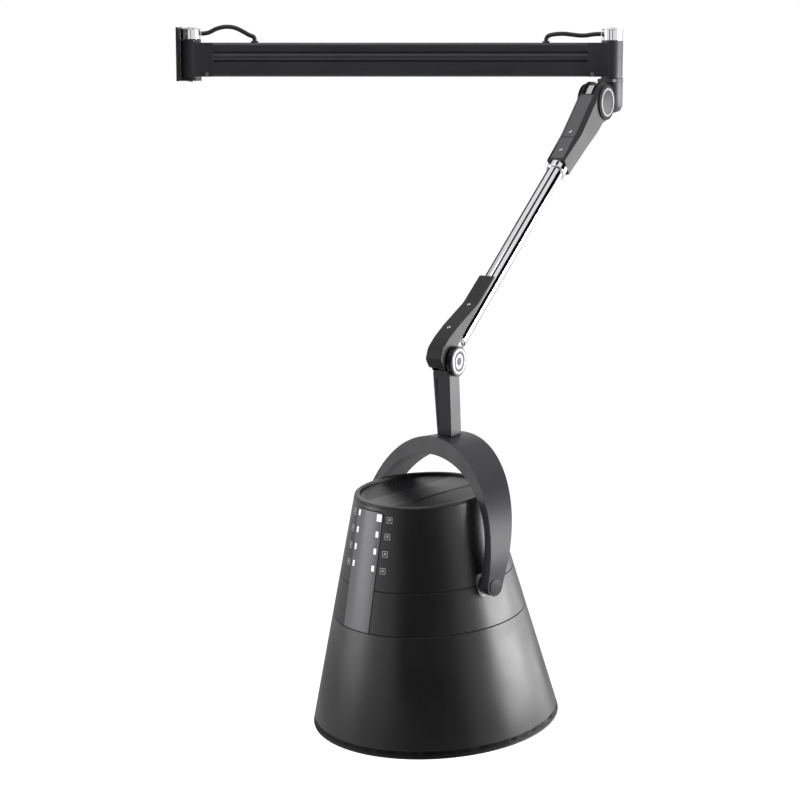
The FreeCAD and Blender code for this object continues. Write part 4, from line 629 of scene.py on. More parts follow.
def walled(obj, wall=WALL):
    """Give a surface its wall on the inside, before its edges are broken."""
    solid = obj.modifiers.new("wall", "SOLIDIFY")
    solid.thickness = wall * MM
    solid.offset = -1
    obj.modifiers.move(len(obj.modifiers) - 1, 0)


# %% Middle and upper ring
middle_rows = even(LOWER_TOP + SEAM, MIDDLE_TOP - SEAM, 6)
middle_shell = piece("middle_shell", shell_round_panel(middle_rows), HOOD, moulded_black, "hood",
                     ("hood_middle",), edge=0.5)
upper_rows = even(MIDDLE_TOP + SEAM, PANEL_BEND, 9) + corner_rows(PANEL_CORNER)
upper_shell = piece("upper_shell", shell_round_panel(upper_rows, (363.0, UPPER_TOP)), HOOD, moulded_black,
                    "hood", ("hood_upper",), edge=0.4)
for shell in (middle_shell, upper_shell):
    walled(shell)
print("hood shells:", len(middle_shell.data.polygons) + len(upper_shell.data.polygons), "faces")

# %% [markdown]
# ## Top rim
# The rim is a separate moulding that rolls over the shell's edge and holds the lid in its well. It is
# turned from one profile, with more steps than the shells because the eye sees its curve edge on.

# %% Rolled rim
WELL, WELL_FLOOR, RIM_FOOT = 97, 362.5, 359
rim = [(cone(366) - 7, 366.3), (cone(366), 366.3), (cone(368), 367.9), (cone(369) - 1.6, RIM_TOP),
       (WELL, RIM_TOP), (WELL, WELL_FLOOR), (90, WELL_FLOOR), (90, RIM_FOOT),
       (cone(RIM_FOOT) - 7.3, RIM_FOOT)]
piece("rolled_rim", turned(eased(rim, 0.8, 4), 160), HOOD, moulded_black, "hood", ("top_rim",))
print("well in the rim, mm:", 2 * WELL)

# %% [markdown]
# ## The lid
# Hot air leaves at the top through two perforated half-moons, with a plain band between them. The
# holes repeat, so Geometry Nodes place one cell of the perforated sheet on a grid of points and turn
# the copies into a plain mesh. An array could not follow the round edge of the half-moons.


# %% Tree that copies a cell on points
def copy_tree(name):
    """Geometry Nodes tree with named inputs, and those inputs by name."""
    tree = bpy.data.node_groups.new(name + "_copies", "GeometryNodeTree")
    face = tree.interface
    face.new_socket("Points", in_out="INPUT", socket_type="NodeSocketGeometry")
    sockets = {key: face.new_socket(key, in_out="INPUT", socket_type=kind) for key, kind in
               (("Cell", "NodeSocketObject"), ("Size", "NodeSocketFloat"), ("Finish", "NodeSocketMaterial"))}
    face.new_socket("Geometry", in_out="OUTPUT", socket_type="NodeSocketGeometry")
    given = add(tree, "NodeGroupInput")
    shape = add(tree, "GeometryNodeObjectInfo", {}, {"Object": given.outputs["Cell"]})
    turn = add(tree, "GeometryNodeInputNamedAttribute", {"data_type": "FLOAT_VECTOR", "Name": "turn"})
    put = add(tree, "GeometryNodeInstanceOnPoints", {},
              {"Points": given.outputs["Points"], "Instance": shape.outputs["Geometry"],
               "Rotation": turn.outputs[0], "Scale": given.outputs["Size"]})
    real = add(tree, "GeometryNodeRealizeInstances", {}, {"Geometry": put.outputs[0]})
    dressed = add(tree, "GeometryNodeSetMaterial", {}, {"Geometry": real.outputs[0],
                                                        "Material": given.outputs["Finish"]})
    add(tree, "NodeGroupOutput", {}, {0: dressed.outputs[0]})
    return tree, sockets


# %% Copies on points
def copies(name, cell, spots, place, material, body, stands_for=(), size=1.0, turns=None, smooth=30):
    """One small shape repeated on points; place is the frame of the points, in millimetres."""
    cell_mesh = bpy.data.meshes.new(name + "_cell")
    cell_mesh.from_pydata(cell[0], [], cell[1])
    clean(cell_mesh)
    point_mesh = bpy.data.meshes.new(name)
    point_mesh.from_pydata(spots, [], [])
    euler = point_mesh.attributes.new("turn", "FLOAT_VECTOR", "POINT")
    for item, turn in zip(euler.data, turns or [(0, 0, 0)] * len(spots)):
        item.vector = turn
    cell_object, holder = linked(name + "_cell", cell_mesh), linked(name + "_points", point_mesh)
    maker = holder.modifiers.new("copies", "NODES")
    maker.node_group, sockets = copy_tree(name)
    maker[sockets["Cell"].identifier] = cell_object
    maker[sockets["Size"].identifier] = size
    maker[sockets["Finish"].identifier] = material
    baked = bpy.data.meshes.new_from_object(holder.evaluated_get(bpy.context.evaluated_depsgraph_get()))
    baked.transform(place)
    for helper in (holder, cell_object):
        bpy.data.objects.remove(helper)
    print(name, "copies:", len(spots), "faces:", len(baked.polygons))
    return finished(linked(name, baked), material, body, stands_for, smooth=smooth)


# %% Perforated cell
def perforated_cell(pitch, hole, thickness):
    """Square of sheet with an eight-sided hole."""
    turns = [math.radians(45 * i) for i in range(8)]
    outer = [(math.cos(a), math.sin(a)) for a in turns]
    outer = [(x / max(abs(x), abs(y)) * pitch / 2, y / max(abs(x), abs(y)) * pitch / 2) for x, y in outer]
    inner = [(hole * math.cos(a), hole * math.sin(a)) for a in turns]
    points = [(x, y, z) for z in (0, -thickness) for x, y in outer + inner]
    above, hole_above, below, hole_below = [range(start, start + 8) for start in (0, 8, 16, 24)]
    faces = []
    for pair in ((above, hole_above), (below, hole_below), (above, below), (hole_above, hole_below)):
        faces += strips(pair)
    return points, faces


# %% Perforated half-moons
LID_RADIUS, PITCH, HOLE = 96.6, 4.2, 1.25
BAND_HALF, MOON_GAP, MOON_RIM = 30.0, 0.5, 6.5
SHEET_TOP, SHEET_WALL = 364.7, 1.2
spots = []
half_grid = int(LID_RADIUS / PITCH) + 1
for row in range(half_grid):
    y = BAND_HALF + 0.6 + PITCH * (row + 0.5)
    for column in range(-half_grid, half_grid + 1):
        x = column * PITCH
        if math.hypot(x, y) < LID_RADIUS - 3.5:
            spots += [(x, y, SHEET_TOP), (x, -y, SHEET_TOP)]
copies("perforated_vents", perforated_cell(PITCH, HOLE, SHEET_WALL), spots, HOOD, moulded_black, "hood",
       ("vent_grilles",))
start = math.degrees(math.asin((BAND_HALF + MOON_GAP) / LID_RADIUS))
moon = arc((0, 0), LID_RADIUS, start, 180 - start, 48)
moon += arc((0, 0), LID_RADIUS - MOON_RIM, 180 - start, start, 48)
both_moons = [slab([(x, flip * y) for x, y in moon], 362.7, 365.0, axis=2) for flip in (1, -1)]
piece("vent_frames", joined(*both_moons), HOOD, moulded_black, "hood", edge=0.3)

# %% Band, and the well in painted shade
end = math.degrees(math.asin(BAND_HALF / LID_RADIUS))
band = arc((0, 0), LID_RADIUS, -end, end, 16) + arc((0, 0), LID_RADIUS, 180 - end, 180 + end, 16)
band_solid = slab(band, WELL_FLOOR, 365.5, axis=2)
piece("plain_band", band_solid, HOOD, moulded_black, "hood", ("top_band",), edge=0.8)
# The floor of the well is a disc in painted shade, seen through the holes of the lid.
painted_shade_floor = rectangle(0, 352.6, 92, 354.0)
piece("well_under_lid", turned(painted_shade_floor, 64), HOOD, painted_shade_black, "hood")
print("band, mm:", 2 * BAND_HALF, "wide")

# %% [markdown]
# ## Control panel
# A long glossy strip is let into the shells and follows their cone. It is a grid on the cone with its
# own wall and bevel, so that its reflections bend with the hood. A bed in painted shade behind it closes the gap.


# %% Panel on the cone
def on_cone(y, height, proud=0.0):
    """Point on the hood's front at a distance from its middle line."""
    radius = cone(height) + proud
    return math.sqrt(max(0.0, radius ** 2 - y ** 2)), y, height


def cone_patch(edge_of, heights, proud, columns=16):
    """Grid on the cone between -edge and edge at each height."""
    points = [on_cone(y, h, proud) for h in heights for y in even(-edge_of(h), edge_of(h), columns)]
    wide = columns + 1
    return points, strips([range(r * wide, (r + 1) * wide) for r in range(len(heights))], closed=False)


def strip_edge(height):
    """Half width of the panel's strip at a height."""
    return max(panel_edge(height) - PANEL_GAP, PANEL_HALF - PANEL_CORNER)


PANEL_GAP, PANEL_FOOT, PANEL_PROUD = 1.1, 179.6, 0.5
panel_rows = even(PANEL_FOOT, PANEL_BEND, 20) + corner_rows(PANEL_CORNER - PANEL_GAP)
panel_strip = piece("panel_strip", cone_patch(strip_edge, panel_rows, PANEL_PROUD), HOOD, smoked_panel,
                    "hood", ("control_panel",), edge=0.5, smooth=40)
walled(panel_strip, 3.0)
# The bed behind the panel is painted in shade.
bed = [(cone(250) - 30, 181), (cone(181) - 7, 181), (cone(359) - 7, 359), (cone(359) - 20, 359)]
piece("panel_bed", slab(bed, -33, 33), HOOD, painted_shade_black, "hood")
print("panel, mm:", 2 * strip_edge(PANEL_FOOT), "by", round(PANEL_TOP - PANEL_GAP - PANEL_FOOT, 1))

# %% [markdown]
# ## Windows and signs
# The panel carries four small lit windows down each side, and beside each window the shell has a
# printed sign in a thin frame. They are thin tiles of real thickness, turned to lie flat on the
# cone, which keeps their edges crisp. A real sign is ink, so its tile stands out by a tenth of a
# millimetre only.


# %% Windows and signs
def on_face(shape, y, height, proud):
    """Shape drawn flat in Y and Z, laid on the cone's front at a place."""
    yaw = math.asin(y / (cone(height) + proud))
    turn = Matrix.Rotation(yaw, 4, "Z") @ Matrix.Rotation(-math.atan(CONE_SLOPE), 4, "Y")
    return moved(shape, Matrix.Translation(on_cone(y, height, proud)) @ turn)


def window(y, height, half_w, half_h):
    """Raised tile with rounded corners."""
    outline = eased(rectangle(-half_w, -half_h, half_w, half_h), 0.8, 3)
    return on_face(slab(outline, -0.8, 0.15, axis=0), y, height, 0.55)


def printed_frame(y, height, half_w, half_h, line):
    """Thin frame of four bars."""
    w, h = half_w - line, half_h - line
    bars = (rectangle(-half_w, -half_h, half_w, -h), rectangle(-half_w, h, half_w, half_h),
            rectangle(-half_w, -h, -w, h), rectangle(w, -h, half_w, h))
    return on_face(joined(*[slab(bar, -0.2, 0.12, axis=0) for bar in bars]), y, height, 0.02)


WINDOW_Y, SIGN_Y = 23, 41
small_rows, top_row = (326.9, 301.4, 275.9), 352.4
windows = [window(-WINDOW_Y, top_row, 2.5, 4.5)]
windows += [window(side * WINDOW_Y, height, 2.5, 4.5) for height in small_rows for side in (-1, 1)]
windows.append(window(23.6, 351.6, 4.6, 5.6))        # the upper right one is larger
piece("lit_windows", joined(*windows), HOOD, lit_window, "hood", ("indicator_windows",), smooth=40)
# Each sign is a square frame with a bar and a small block in it.
signs = []
for height in (349.7, 325.1, 299.2, 274.0):
    for y in (-SIGN_Y, SIGN_Y):
        signs.append(printed_frame(y, height, 4.6, 4.6, 0.55))
        signs.append(printed_frame(y, height - 0.6, 2.2, 0.45, 0.44))
        signs.append(printed_frame(y, height + 1.4, 1.1, 0.9, 0.8))
piece("printed_signs", joined(*signs), HOOD, printed_white, "hood")
print("windows:", len(windows), "signs:", len(signs) // 3)

# %% [markdown]
# ## Yoke
# The yoke is one bent arch of cast aluminium that is deep from front to back, leans away from the
# panel as it rises, and ends in round ears over the hood's pivots. Its section is a rectangle between
# an outer and an inner curve, so it is lofted: four corners at each station along the arch.

# %% Curves of the arch
# half widths of the outer and the inner curve, where their legs end, and how thick the crown is
YOKE_TOP, OUTER, OUTER_STRAIGHT, INNER, INNER_STRAIGHT, CROWN = 205.7, 158.1, 21.1, 140.9, 45.6, 27.5
EAR, EAR_MIDDLE = 15.0, -0.4
FRONT_FOOT, FRONT_LEAN, BACK_FOOT, BACK_LEAN = 14.6, 30.2, -15.4, 66.9


def depth_at(height):
    """Front and back of the arch at a height; below the pivot it is the round ear."""
    if height < 0:
        half = math.sqrt(max(0.0, EAR ** 2 - height ** 2))
        return EAR_MIDDLE + half, EAR_MIDDLE - half
    share = height / YOKE_TOP
    return FRONT_FOOT - FRONT_LEAN * share, BACK_FOOT - BACK_LEAN * share


def curve_points(half, straight, top, count):
    """Even steps along a leg and a quarter of an ellipse, from the ear's height to the crown."""
    leg = [(half, height) for height in even(OUTER_STRAIGHT, straight, 20)[:-1]]
    fine = leg if straight > OUTER_STRAIGHT else []
    fine += [(half * math.cos(a), straight + (top - straight) * math.sin(a))
             for a in even(0, math.pi / 2, 360)]
    run = [0.0]
    for first, second in zip(fine, fine[1:]):
        run.append(run[-1] + math.dist(first, second))
    points = []
    for goal in even(0.0, run[-1], count):
        k = min(max(j for j in range(len(run)) if run[j] <= goal + 1e-9), len(run) - 2)
        t = (goal - run[k]) / (run[k + 1] - run[k])
        points.append(tuple(Vector(fine[k]).lerp(Vector(fine[k + 1]), t)))
    return points


def side_of(half, straight, top):
    """Outer or inner curve from the ear's foot to the crown."""
    ear = [(half, -EAR * math.cos(math.radians(9 * i))) for i in range(10)]
    return ear + [(half, 0), (half, 10)] + curve_points(half, straight, top, 40)


# %% Arch and caps
stations = []
for (yo, zo), (yi, zi) in zip(side_of(OUTER, OUTER_STRAIGHT, YOKE_TOP),
                              side_of(INNER, INNER_STRAIGHT, YOKE_TOP - CROWN)):
    (front_o, back_o), (front_i, back_i) = depth_at(zo), depth_at(zi)
    stations.append([(front_o, yo, zo), (back_o, yo, zo), (back_i, yi, zi), (front_i, yi, zi)])
stations += [[(x, -y, z) for x, y, z in station] for station in reversed(stations[:-1])]
piece("yoke_arch", lofted(stations, capped=False), YOKE, yoke_coat, "yoke", ("yoke",), edge=1.6, smooth=40,
      segments=3)
cap = turned(eased(rectangle(0, OUTER, 11.5, OUTER + 1.5), 0.6), 64)
at_ears = [Matrix.Translation((EAR_MIDDLE, 0, 0)) @ turn for turn in (ALONG_Y, AGAINST_Y)]
piece("pivot_caps", joined(*[moved(cap, turn) for turn in at_ears]), YOKE, yoke_coat, "yoke", ("yoke_caps",))
print("stations of the arch:", len(stations))

# %% [markdown]
# ## Shoulder
# Where the arm meets the beam, a moulded casing in two halves closes round the arm's pivot. It is
# drawn from its side outline with a broad chamfer. The bed for the cover, the slot for the bracket's
# tongue and the way of the levelling rod are taken out of it with Boolean modifiers, applied at once,
# because such pockets would be hard to loft.


# %% Cutting one piece with others
def carved(obj, *cutters):
    """Take shapes out of a piece; each cutter is points, faces and the matrix that places them."""
    for points, faces, place in cutters:
        mesh = bpy.data.meshes.new("cutter")
        mesh.from_pydata(points, [], faces)
        mesh.transform(place)
        clean(mesh)
        tool = linked("cutter", mesh)
        cut = obj.modifiers.new("cut", "BOOLEAN")
        cut.object, cut.operation, cut.solver = tool, "DIFFERENCE", "EXACT"
        rest = [m for m in obj.modifiers if m != cut]
        shown = [m.show_viewport for m in rest]
        for m in rest:
            m.show_viewport = False
        bpy.context.view_layer.update()
        result = bpy.data.meshes.new_from_object(obj.evaluated_get(bpy.context.evaluated_depsgraph_get()))
        for m, state in zip(rest, shown):
            m.show_viewport = state
        obj.modifiers.remove(cut)
        bpy.data.objects.remove(tool)
        obj.data = result
    for face in obj.data.polygons:
        face.use_smooth = True
    obj.data.set_sharp_from_angle(angle=math.radians(30))


# %% Outline of the casing
HEAD, HALF, END_HALF, BEND, END = 34.5, 19.0, 16.5, 105.0, 176.0
BEND_TOP, END_TOP = 19.5, 15.5
CHAMFER, COVER_BED, BED_DEPTH = 6.2, 12.6, 3.2


def casing_top(x):
    """Height of the casing's upper face."""
    if x < BEND:
        return HEAD - (HEAD - BEND_TOP) * x / BEND
    return BEND_TOP - (BEND_TOP - END_TOP) * (x - BEND) / (END - BEND)


def tapered(shape):
    """Narrow a shape towards the casing's end, beyond its bend."""
    points = []
    for x, y, z in shape[0]:
        share = max(0.0, min(1.0, (x - BEND) / (END - BEND)))
        points.append((x, y * (1 + (END_HALF / HALF - 1) * share), z))
    return points, shape[1]


def shrunk(outline, inset):
    """Outline moved inwards at each corner by inset(x), along the line that halves the corner."""
    points = []
    for i, corner in enumerate(outline):
        here = Vector(corner)
        before = (here - Vector(outline[i - 1])).normalized()
        after = (Vector(outline[(i + 1) % len(outline)]) - here).normalized()
        inward = (Vector((-before.y, before.x)) + Vector((-after.y, after.x))).normalized()
        reach = inset(corner[0]) / max(0.5, inward.dot(Vector((-before.y, before.x))))
        points.append(tuple(here + inward * reach))
    return points


def chamfered(outline, half, flat, inset):
    """Solid of an outline across Y: full between -flat and flat, shrunk by the inset at both sides."""
    small = shrunk(outline, inset)
    sides = ((-half, small), (-flat, outline), (flat, outline), (half, small))
    return lofted([[(x, y, z) for x, z in line] for y, line in sides])


# %% Casing
casing_line = arc((0, 0), HEAD, 90, 306, 60)
casing_line += [(57, -28), (BEND, -23), (END, -END_TOP), (END, END_TOP), (BEND, BEND_TOP),
                (32, casing_top(32))]
casing_solid = chamfered(casing_line, HALF, COVER_BED + 0.6, lambda x: CHAMFER if x < END - 6 else 1.0)
casing = piece("shoulder_casing", tapered(casing_solid), ARM, charcoal, "arm",
               ("shoulder_shell_left", "shoulder_shell_right"), edge=0.9, smooth=35, segments=3)
BED_START, BED_END = 19.4, 170.4
bed = [(BED_START, casing_top(BED_START) + 2), (BED_START, casing_top(BED_START) - BED_DEPTH),
       (BEND, BEND_TOP - BED_DEPTH), (BED_END, casing_top(BED_END) - BED_DEPTH),
       (BED_END, casing_top(BED_END) + 2), (BEND, BEND_TOP + 2)]
rod_way = rectangle(-40, -13.5, 171.5, 13.5)
plate_pocket = [(-4, 40), (-4, 29), (18.2, casing_top(18.2) - 5), (18.2, 40)]
tongue_above, tongue_behind = rectangle(-45, -12, 0, 45), rectangle(-60, -60, -20, -12)
hollow = arc((0, 0), HEAD - 3, 0, 352.5, 47)
# The hollow is wider than the tongue's slots, because a Boolean cut can fail where two faces coincide.
TONGUE_HALF, HOLLOW_HALF = 6.6, 7.0
cuts = ((bed, COVER_BED), (rod_way, 4.5), (tongue_above, TONGUE_HALF), (plate_pocket, 11.8),
        (tongue_behind, TONGUE_HALF), (hollow, HOLLOW_HALF))
carved(casing, *[(*slab(outline, -half, half), ARM) for outline, half in cuts])
print("casing faces:", len(casing.data.polygons))

# %% [markdown]
# ## Covers and the spring's plate
# A narrow cover in two pieces, held by two screws, closes the casing's top. In front of it the head
# is open between thin ribs, and a bright steel plate of the spring shows through. Covers and plate are
# slabs of their side outline, which is how such strips are moulded and folded.

# %% Covers, plate and ribs
COVER_HALF, COVER_HIGH, COVER_LOW = 12, 0.2, -2.8


def cover(first, last):
    """Strip that follows the casing's top between two places, over its bend where it lies between."""
    places = (first, BEND, last) if first < BEND < last else (first, last)
    foot = [(x, casing_top(x) + COVER_LOW) for x in places]
    top = [(x, casing_top(x) + COVER_HIGH) for x in reversed(places)]
    return slab(foot + top, -COVER_HALF, COVER_HALF)


piece("casing_covers", joined(cover(20, 117.4), cover(118.6, 169.9)), ARM, moulded_grey, "arm",
      ("shoulder_covers",), edge=0.7)
BACK, FRONT = -3.6, 17.8                     # where plate and ribs start and end along the arm
plate = [(BACK, 28), (BACK, 33.2), (6, 32.6), (FRONT, casing_top(FRONT) - 1.6), (FRONT, 24)]
piece("spring_plate", slab(plate, -5.2, 5.2), ARM, turned_steel, "arm", edge=0.5)
rib = [(BACK, 28), (BACK, 33.9), (6, casing_top(6) - 0.3), (FRONT, casing_top(FRONT) - 0.4), (FRONT, 24)]
ribs = [slab(rib, y - 0.5, y + 0.5) for y in (-11.0, -9.0, -7.0, 7.0, 9.0, 11.0)]
# The ribs wear the black with painted shade, for the shadow inside the open head.
piece("head_ribs", joined(*ribs), ARM, painted_shade_black, "arm")
print("ribs in the head:", len(ribs))

# %% [markdown]
# ## Pivot discs and screws
# A black disc with painted shade, a cast ring and a dull badge hides the pivot on either side. Each is
# turned once and laid along +Y and -Y, so both sides are the same. The screws repeat, so Geometry
# Nodes set them.


# %% Discs, rings and badges
def on_both_sides(profile):
    """Turned shape on the left and on the right of the arm."""
    return joined(*[moved(turned(profile), turn) for turn in (ALONG_Y, AGAINST_Y)])


disc = eased([(0, HALF), (30.5, HALF), (30.5, 21.6), (0, 22)], 1.0, 4)
# The discs wear the black with painted shade, which keeps their rims dark.
piece("pivot_discs", on_both_sides(disc), ARM, painted_shade_black, "arm", ("pivot_covers",))
trim = eased([(20, 21.5), (25, 21.5), (25, 22.8), (24, 23.2), (21, 23.2), (20, 22.8)], 0.4)
piece("pivot_trims", on_both_sides(trim), ARM, cast_alloy, "arm", ("pivot_rings",))
badge = eased([(0, 21.8), (19.6, 21.8), (19.6, 22.5), (0, 22.7)], 0.3)
piece("pivot_faces", on_both_sides(badge), ARM, charcoal, "arm")


# %% Screws
def screw(head, height, socket):
    """Button head screw with a round socket, standing on Z = 0."""
    return turned([(head, 0), (head, height * 0.35), (head * 0.8, height * 0.8), (socket * 1.25, height),
                   (socket, height), (socket, height * 0.4), (0, height * 0.4), (0, 0)], 24)


def screw_turn(x_slope):
    """Turn that lays a screw on a face that falls along the arm by this slope."""
    return (0.0, math.atan(x_slope), 0.0)


BEND_SLOPE, END_SLOPE = 0.1, 0.056      # the first screw sits on the bend, between both slopes
cover_spots = [(x, 0, casing_top(x) + COVER_HIGH) for x in (BEND, 150.0)]
copies("cover_screws", screw(3.2, 1.4, 1.4), cover_spots, ARM, turned_steel, "arm", ("shoulder_screws",),
       turns=[screw_turn(BEND_SLOPE), screw_turn(END_SLOPE)])

# %% [markdown]
# ## Tube
# The arm itself is a chrome-plated steel tube that leaves the casing through a short collar. Both are
# turned profiles with true walls. Their smooth shading stops at small angles already, because a long
# wall that shares its shading with a rounded edge would show a wrong gradient in its reflections.

# %% Tube and collar
TUBE, TUBE_BORE, TUBE_START, TUBE_END = 14.3, 12.5, 176.1, 598
tube = turned(eased(rectangle(TUBE_BORE, TUBE_START, TUBE, TUBE_END), 0.4), 96)
piece("chrome_tube", moved(tube, ALONG_X), ARM, chrome, "arm", ("arm_tube",), smooth=10)
COLLAR_BORE = TUBE + 0.05
collar = eased([(COLLAR_BORE, END), (17, END), (17, 188.5), (15.8, 190), (COLLAR_BORE, 190)], 0.6)
piece("tube_collar", moved(turned(collar, 96), ALONG_X), ARM, chrome, "arm", ("ferrule",), smooth=10)
print("tube, mm:", 2 * TUBE, "by", round(TUBE_END - TUBE_START, 1))

# %% [markdown]
# ## Elbow
# A moulded cover sits on the tube's lower end and hides the joint. Two screws hold it, a cap closes
# its left side, and a knob with a polished face on its right sets how stiffly the joint moves. The
# cover is a slab of its side outline, and everything round about the pin is turned.

# %% Elbow cover
ELBOW_HALF = 13.7
elbow_line = [(465, 14), (594, 11), (621.5, 8), (ARM_LENGTH, 8), (669.5, 8), (669.5, 28.4), (653.4, 37.9),
              (629.6, 37.9), (597, 33.5), (530, 19), (465, 18)]
piece("elbow_hood", slab(eased(elbow_line, 5, 5), -ELBOW_HALF, ELBOW_HALF), ARM, elbow_black, "arm",
      ("elbow_cover",), edge=1.6, smooth=30, segments=3)
# how steeply the cover's top rises at its first screw, and at the crest where the second one sits
RISE, CREST_SLOPE = (33.5 - 19) / (597 - 530), 0.13
elbow_spots = [(536.0, 0, 19 + RISE * 6 + 0.1), (603.0, 0, 34.3)]
copies("elbow_cover_screws", screw(3.0, 1.6, 1.3), elbow_spots, ARM, turned_steel, "arm", ("elbow_screws",),
       turns=[screw_turn(-RISE), screw_turn(-CREST_SLOPE)])

# %% End cap and knob
AT_ELBOW = Matrix.Translation((ARM_LENGTH, 0, 0))
end_cap = eased([(0, 10.6), (7, 10.6), (7, 13.8), (20, 13.8), (19.2, 16.3), (0, 16.6)], 0.6)
piece("elbow_end_cap", moved(turned(end_cap), AT_ELBOW @ AGAINST_Y), ARM, moulded_black, "arm",
      ("elbow_cap",))
KNOB, KNOB_BORE, KNOB_TOP, WAIST = 23.5, 5.05, 24.1, 21.3
knob_line = [(KNOB_BORE, 15.2), (KNOB, 15.2), (KNOB, 18.4), (WAIST, 18.7), (WAIST, 20.4), (KNOB, 20.7),
             (KNOB, 23.2), (22.3, KNOB_TOP), (KNOB_BORE, KNOB_TOP)]
knob_disc = [(0, KNOB_TOP), (20.5, KNOB_TOP), (20.5, 24.6), (19, 25.1), (16.5, 25.1), (15.6, 24.4), (0, 24.4)]
knob_inlays = joined(turned(rectangle(11.5, 24.3, 15.4, 24.7), 64),
                     turned([(0, 24.3), (6.5, 24.3), (6.5, 24.8), (0, 24.9)], 64))
for name, shape, finish, node in (
        ("elbow_knob_body", turned(eased(knob_line, 0.5)), moulded_black, ("elbow_knob",)),
        ("elbow_knob_disc", turned(eased(knob_disc, 0.3)), motor_steel, ("elbow_knob_face",)),
        ("elbow_knob_inlays", knob_inlays, blackened_steel, ())):
    piece(name, moved(shape, AT_ELBOW @ ALONG_Y), ARM, finish, "knob", node)
print("knob, mm:", 2 * KNOB)

# %% [markdown]
# ## Neck
# A short folded neck hangs level from the elbow and carries the yoke's swivel. It tapers downwards
# and its front is a shallow recess, as a piece pressed from sheet has between its flanges. It is
# lofted through four sections, and the recess is then cut.

# %% Neck
# height, back, front and half width of each section
neck_sections = ((-18.0, -16.3, 13.7, 14.9), (-30.0, -17.7, 12.4, 14.6), (-108.0, -26.8, 4.1, 12.8),
                 (-118.7, -28, 3, 12.5))
rings = [[(front, -half, z), (front, half, z), (back, half, z), (back, -half, z)]
         for z, back, front, half in neck_sections]
neck = piece("neck_sleeve", lofted(rings), NECK, powder_coat, "neck", ("neck_post",), edge=1.4, segments=3)
recess = [(30, -27), (10.6, -27), (8.6, -60), (3.6, -104), (30, -104)]
carved(neck, (*slab(recess, -9.5, 9.5), NECK))
stalk = slab(rectangle(-11, -22, 11, 2), -5.5, 5.5)
head = moved(turned(eased(rectangle(5.1, -5.5, 14.4, 5.5), 0.6), 48), ALONG_Y)
piece("neck_stalk", joined(stalk, head), NECK, powder_coat, "neck")
shelf = slab([(-15.0, -19), (15.6, -19), (16.4, -13.8), (-14.6, -12.5)], -13, 13)
piece("neck_top", shelf, NECK, powder_coat, "neck", edge=1.0)
print("neck faces:", len(neck.data.polygons))

# %% [markdown]
# ## Beam and castings
# The beam is an extruded aluminium tube with two narrow slots along each face and a rounded rib
# between them. It is one section pulled along X, which is also how the press makes it. Castings,
# plate and bracket keep the shape that the CAD gives them, with their edges broken.


# %% Beam
def beam_section():
    """Outline of the beam in Y and Z with rounded corners, and two slots and a rib in each face."""
    right = [(17, -27.8), (17, -3.2), (11.5, -3.0), (11.5, 0.2), (15.2, 0.6), (16.6, 4.5), (16.6, 8.0),
             (15.2, 12.0), (11.5, 12.4), (11.5, 15.4), (17, 15.8), (17, 30.4)]
    whole = right + [(-y, z) for y, z in reversed(right)]
    rounded = []
    for i, corner in enumerate(whole):
        radius = 6.0 if abs(corner[1]) > 20 else 0.5
        here, before, after = Vector(corner), Vector(whole[i - 1]), Vector(whole[(i + 1) % len(whole)])
        start, end = here + (before - here).normalized() * radius, here + (after - here).normalized() * radius
        rounded += bent(start, here, end, 6)
    return rounded


BEAM_START, BEAM_END = 39.7, 688.2
piece("beam_profile", slab(beam_section(), BEAM_START, BEAM_END, axis=0), BEAM, powder_coat, "beam",
      ("beam_tube",), smooth=40)
for node in ("casting_left", "casting_right", "shoulder_bracket", "swivel_collar", "elbow_fork"):
    softened(node, SLOT_FINISH[slot_of[node]])
softened("wall_plate", plate_coat)
print("beam section points:", len(beam_section()))

# %% [markdown]
# ## Caps
# Polished caps close both castings where the leads go in. Each is turned from one profile, and the
# smooth shading stops at five degrees, so that the straight wall reflects its surroundings evenly.


# %% Caps
def dome(radius, low, high=57):
    """Polished cap with a lip, a straight wall and a slightly raised middle."""
    lip = radius + 0.5
    profile = [(0, low), (radius, low), (radius, high - 4.5), (lip, high - 4.0), (lip, high - 3.0),
               (radius - 0.6, high - 2.2), (radius - 4, high - 1.4), (5, high - 1.0), (4, high), (0, high)]
    return turned(eased(profile, 0.8))


left_cap = dome(17.6, 36.3)
right_cap = moved(dome(18.9, 34.5), Matrix.Translation((BEAM_SPAN, 0, 0)))
piece("chrome_caps", joined(left_cap, right_cap), BEAM, chrome, "beam", ("column_caps",), smooth=5)
print("caps, mm apart:", BEAM_SPAN)

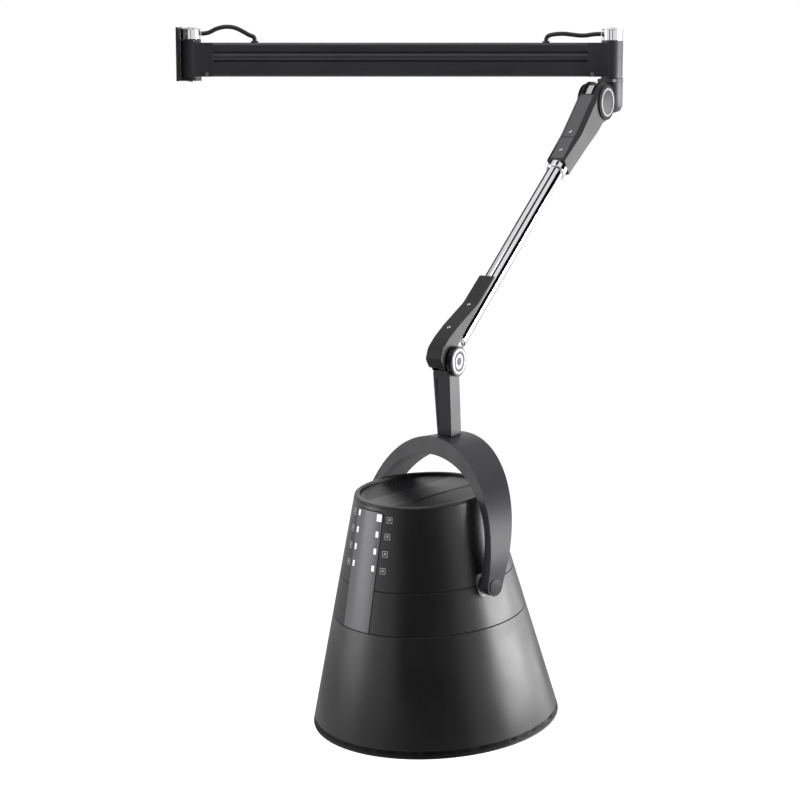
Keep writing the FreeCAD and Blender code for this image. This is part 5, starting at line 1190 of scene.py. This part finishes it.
# %% [markdown]
# ## Leads
# Two short leads in black sleeving come out of grommets in the beam and go into the caps. Each is a
# curve with a round bevel, which keeps one thickness along every bend. A real lead springs into the
# smoothest arc between its two ends, so a few control points of a curve are enough.


# %% Leads
LEAD_RADIUS = 3.75
LEFT_EXIT, RIGHT_EXIT = 111, 617.3           # where the leads leave the beam


def lead(name, route):
    """Round sleeving along a smooth curve through its control points, in millimetres of the beam."""
    curve = bpy.data.curves.new(name, "CURVE")
    curve.dimensions = "3D"
    spline = curve.splines.new("NURBS")
    spline.points.add(len(route) - 1)
    for point, (x, z) in zip(spline.points, route):
        point.co = (*(BEAM @ Vector((x, 0, z))), 1.0)
    spline.order_u = 3
    spline.use_endpoint_u = True
    spline.resolution_u = 10
    curve.bevel_depth = LEAD_RADIUS * MM
    curve.bevel_resolution = 6
    curve.use_fill_caps = True
    holder = linked(name, curve)
    mesh = bpy.data.meshes.new_from_object(holder.evaluated_get(bpy.context.evaluated_depsgraph_get()))
    bpy.data.objects.remove(holder)
    clean(mesh)
    return mesh


left_route = ((18.5, 46), (30, 46), (43, 54), (60, 58.2), (77, 56.5), (91, 49.5), (103, 42.5),
              (LEFT_EXIT, 40.5), (LEFT_EXIT, 33.4))
right_route = ((RIGHT_EXIT, 33.4), (RIGHT_EXIT, 40), (626.3, 44.5), (647.3, 46), (660.5, 44.3),
               (682.5, 41.8), (700.5, 45.2), (712.5, 45.2))
both_leads = bmesh.new()
for route in (left_route, right_route):
    both_leads.from_mesh(lead("lead", route))
sleeving = bpy.data.meshes.new("leads")
both_leads.to_mesh(sleeving)
both_leads.free()
finished(linked("leads", sleeving), rubber, "beam", ("cables",), smooth=60)
grommet = turned(eased([(0, 30.4), (6.5, 30.4), (6.5, 32.4), (5.2, 33.4), (0, 33.4)], 0.6), 48)
grommets = [moved(grommet, Matrix.Translation((x, 0, 0))) for x in (LEFT_EXIT, RIGHT_EXIT)]
piece("lead_grommets", joined(*grommets), BEAM, rubber, "beam", ("grommets",))
print("faces of the leads:", len(sleeving.polygons))
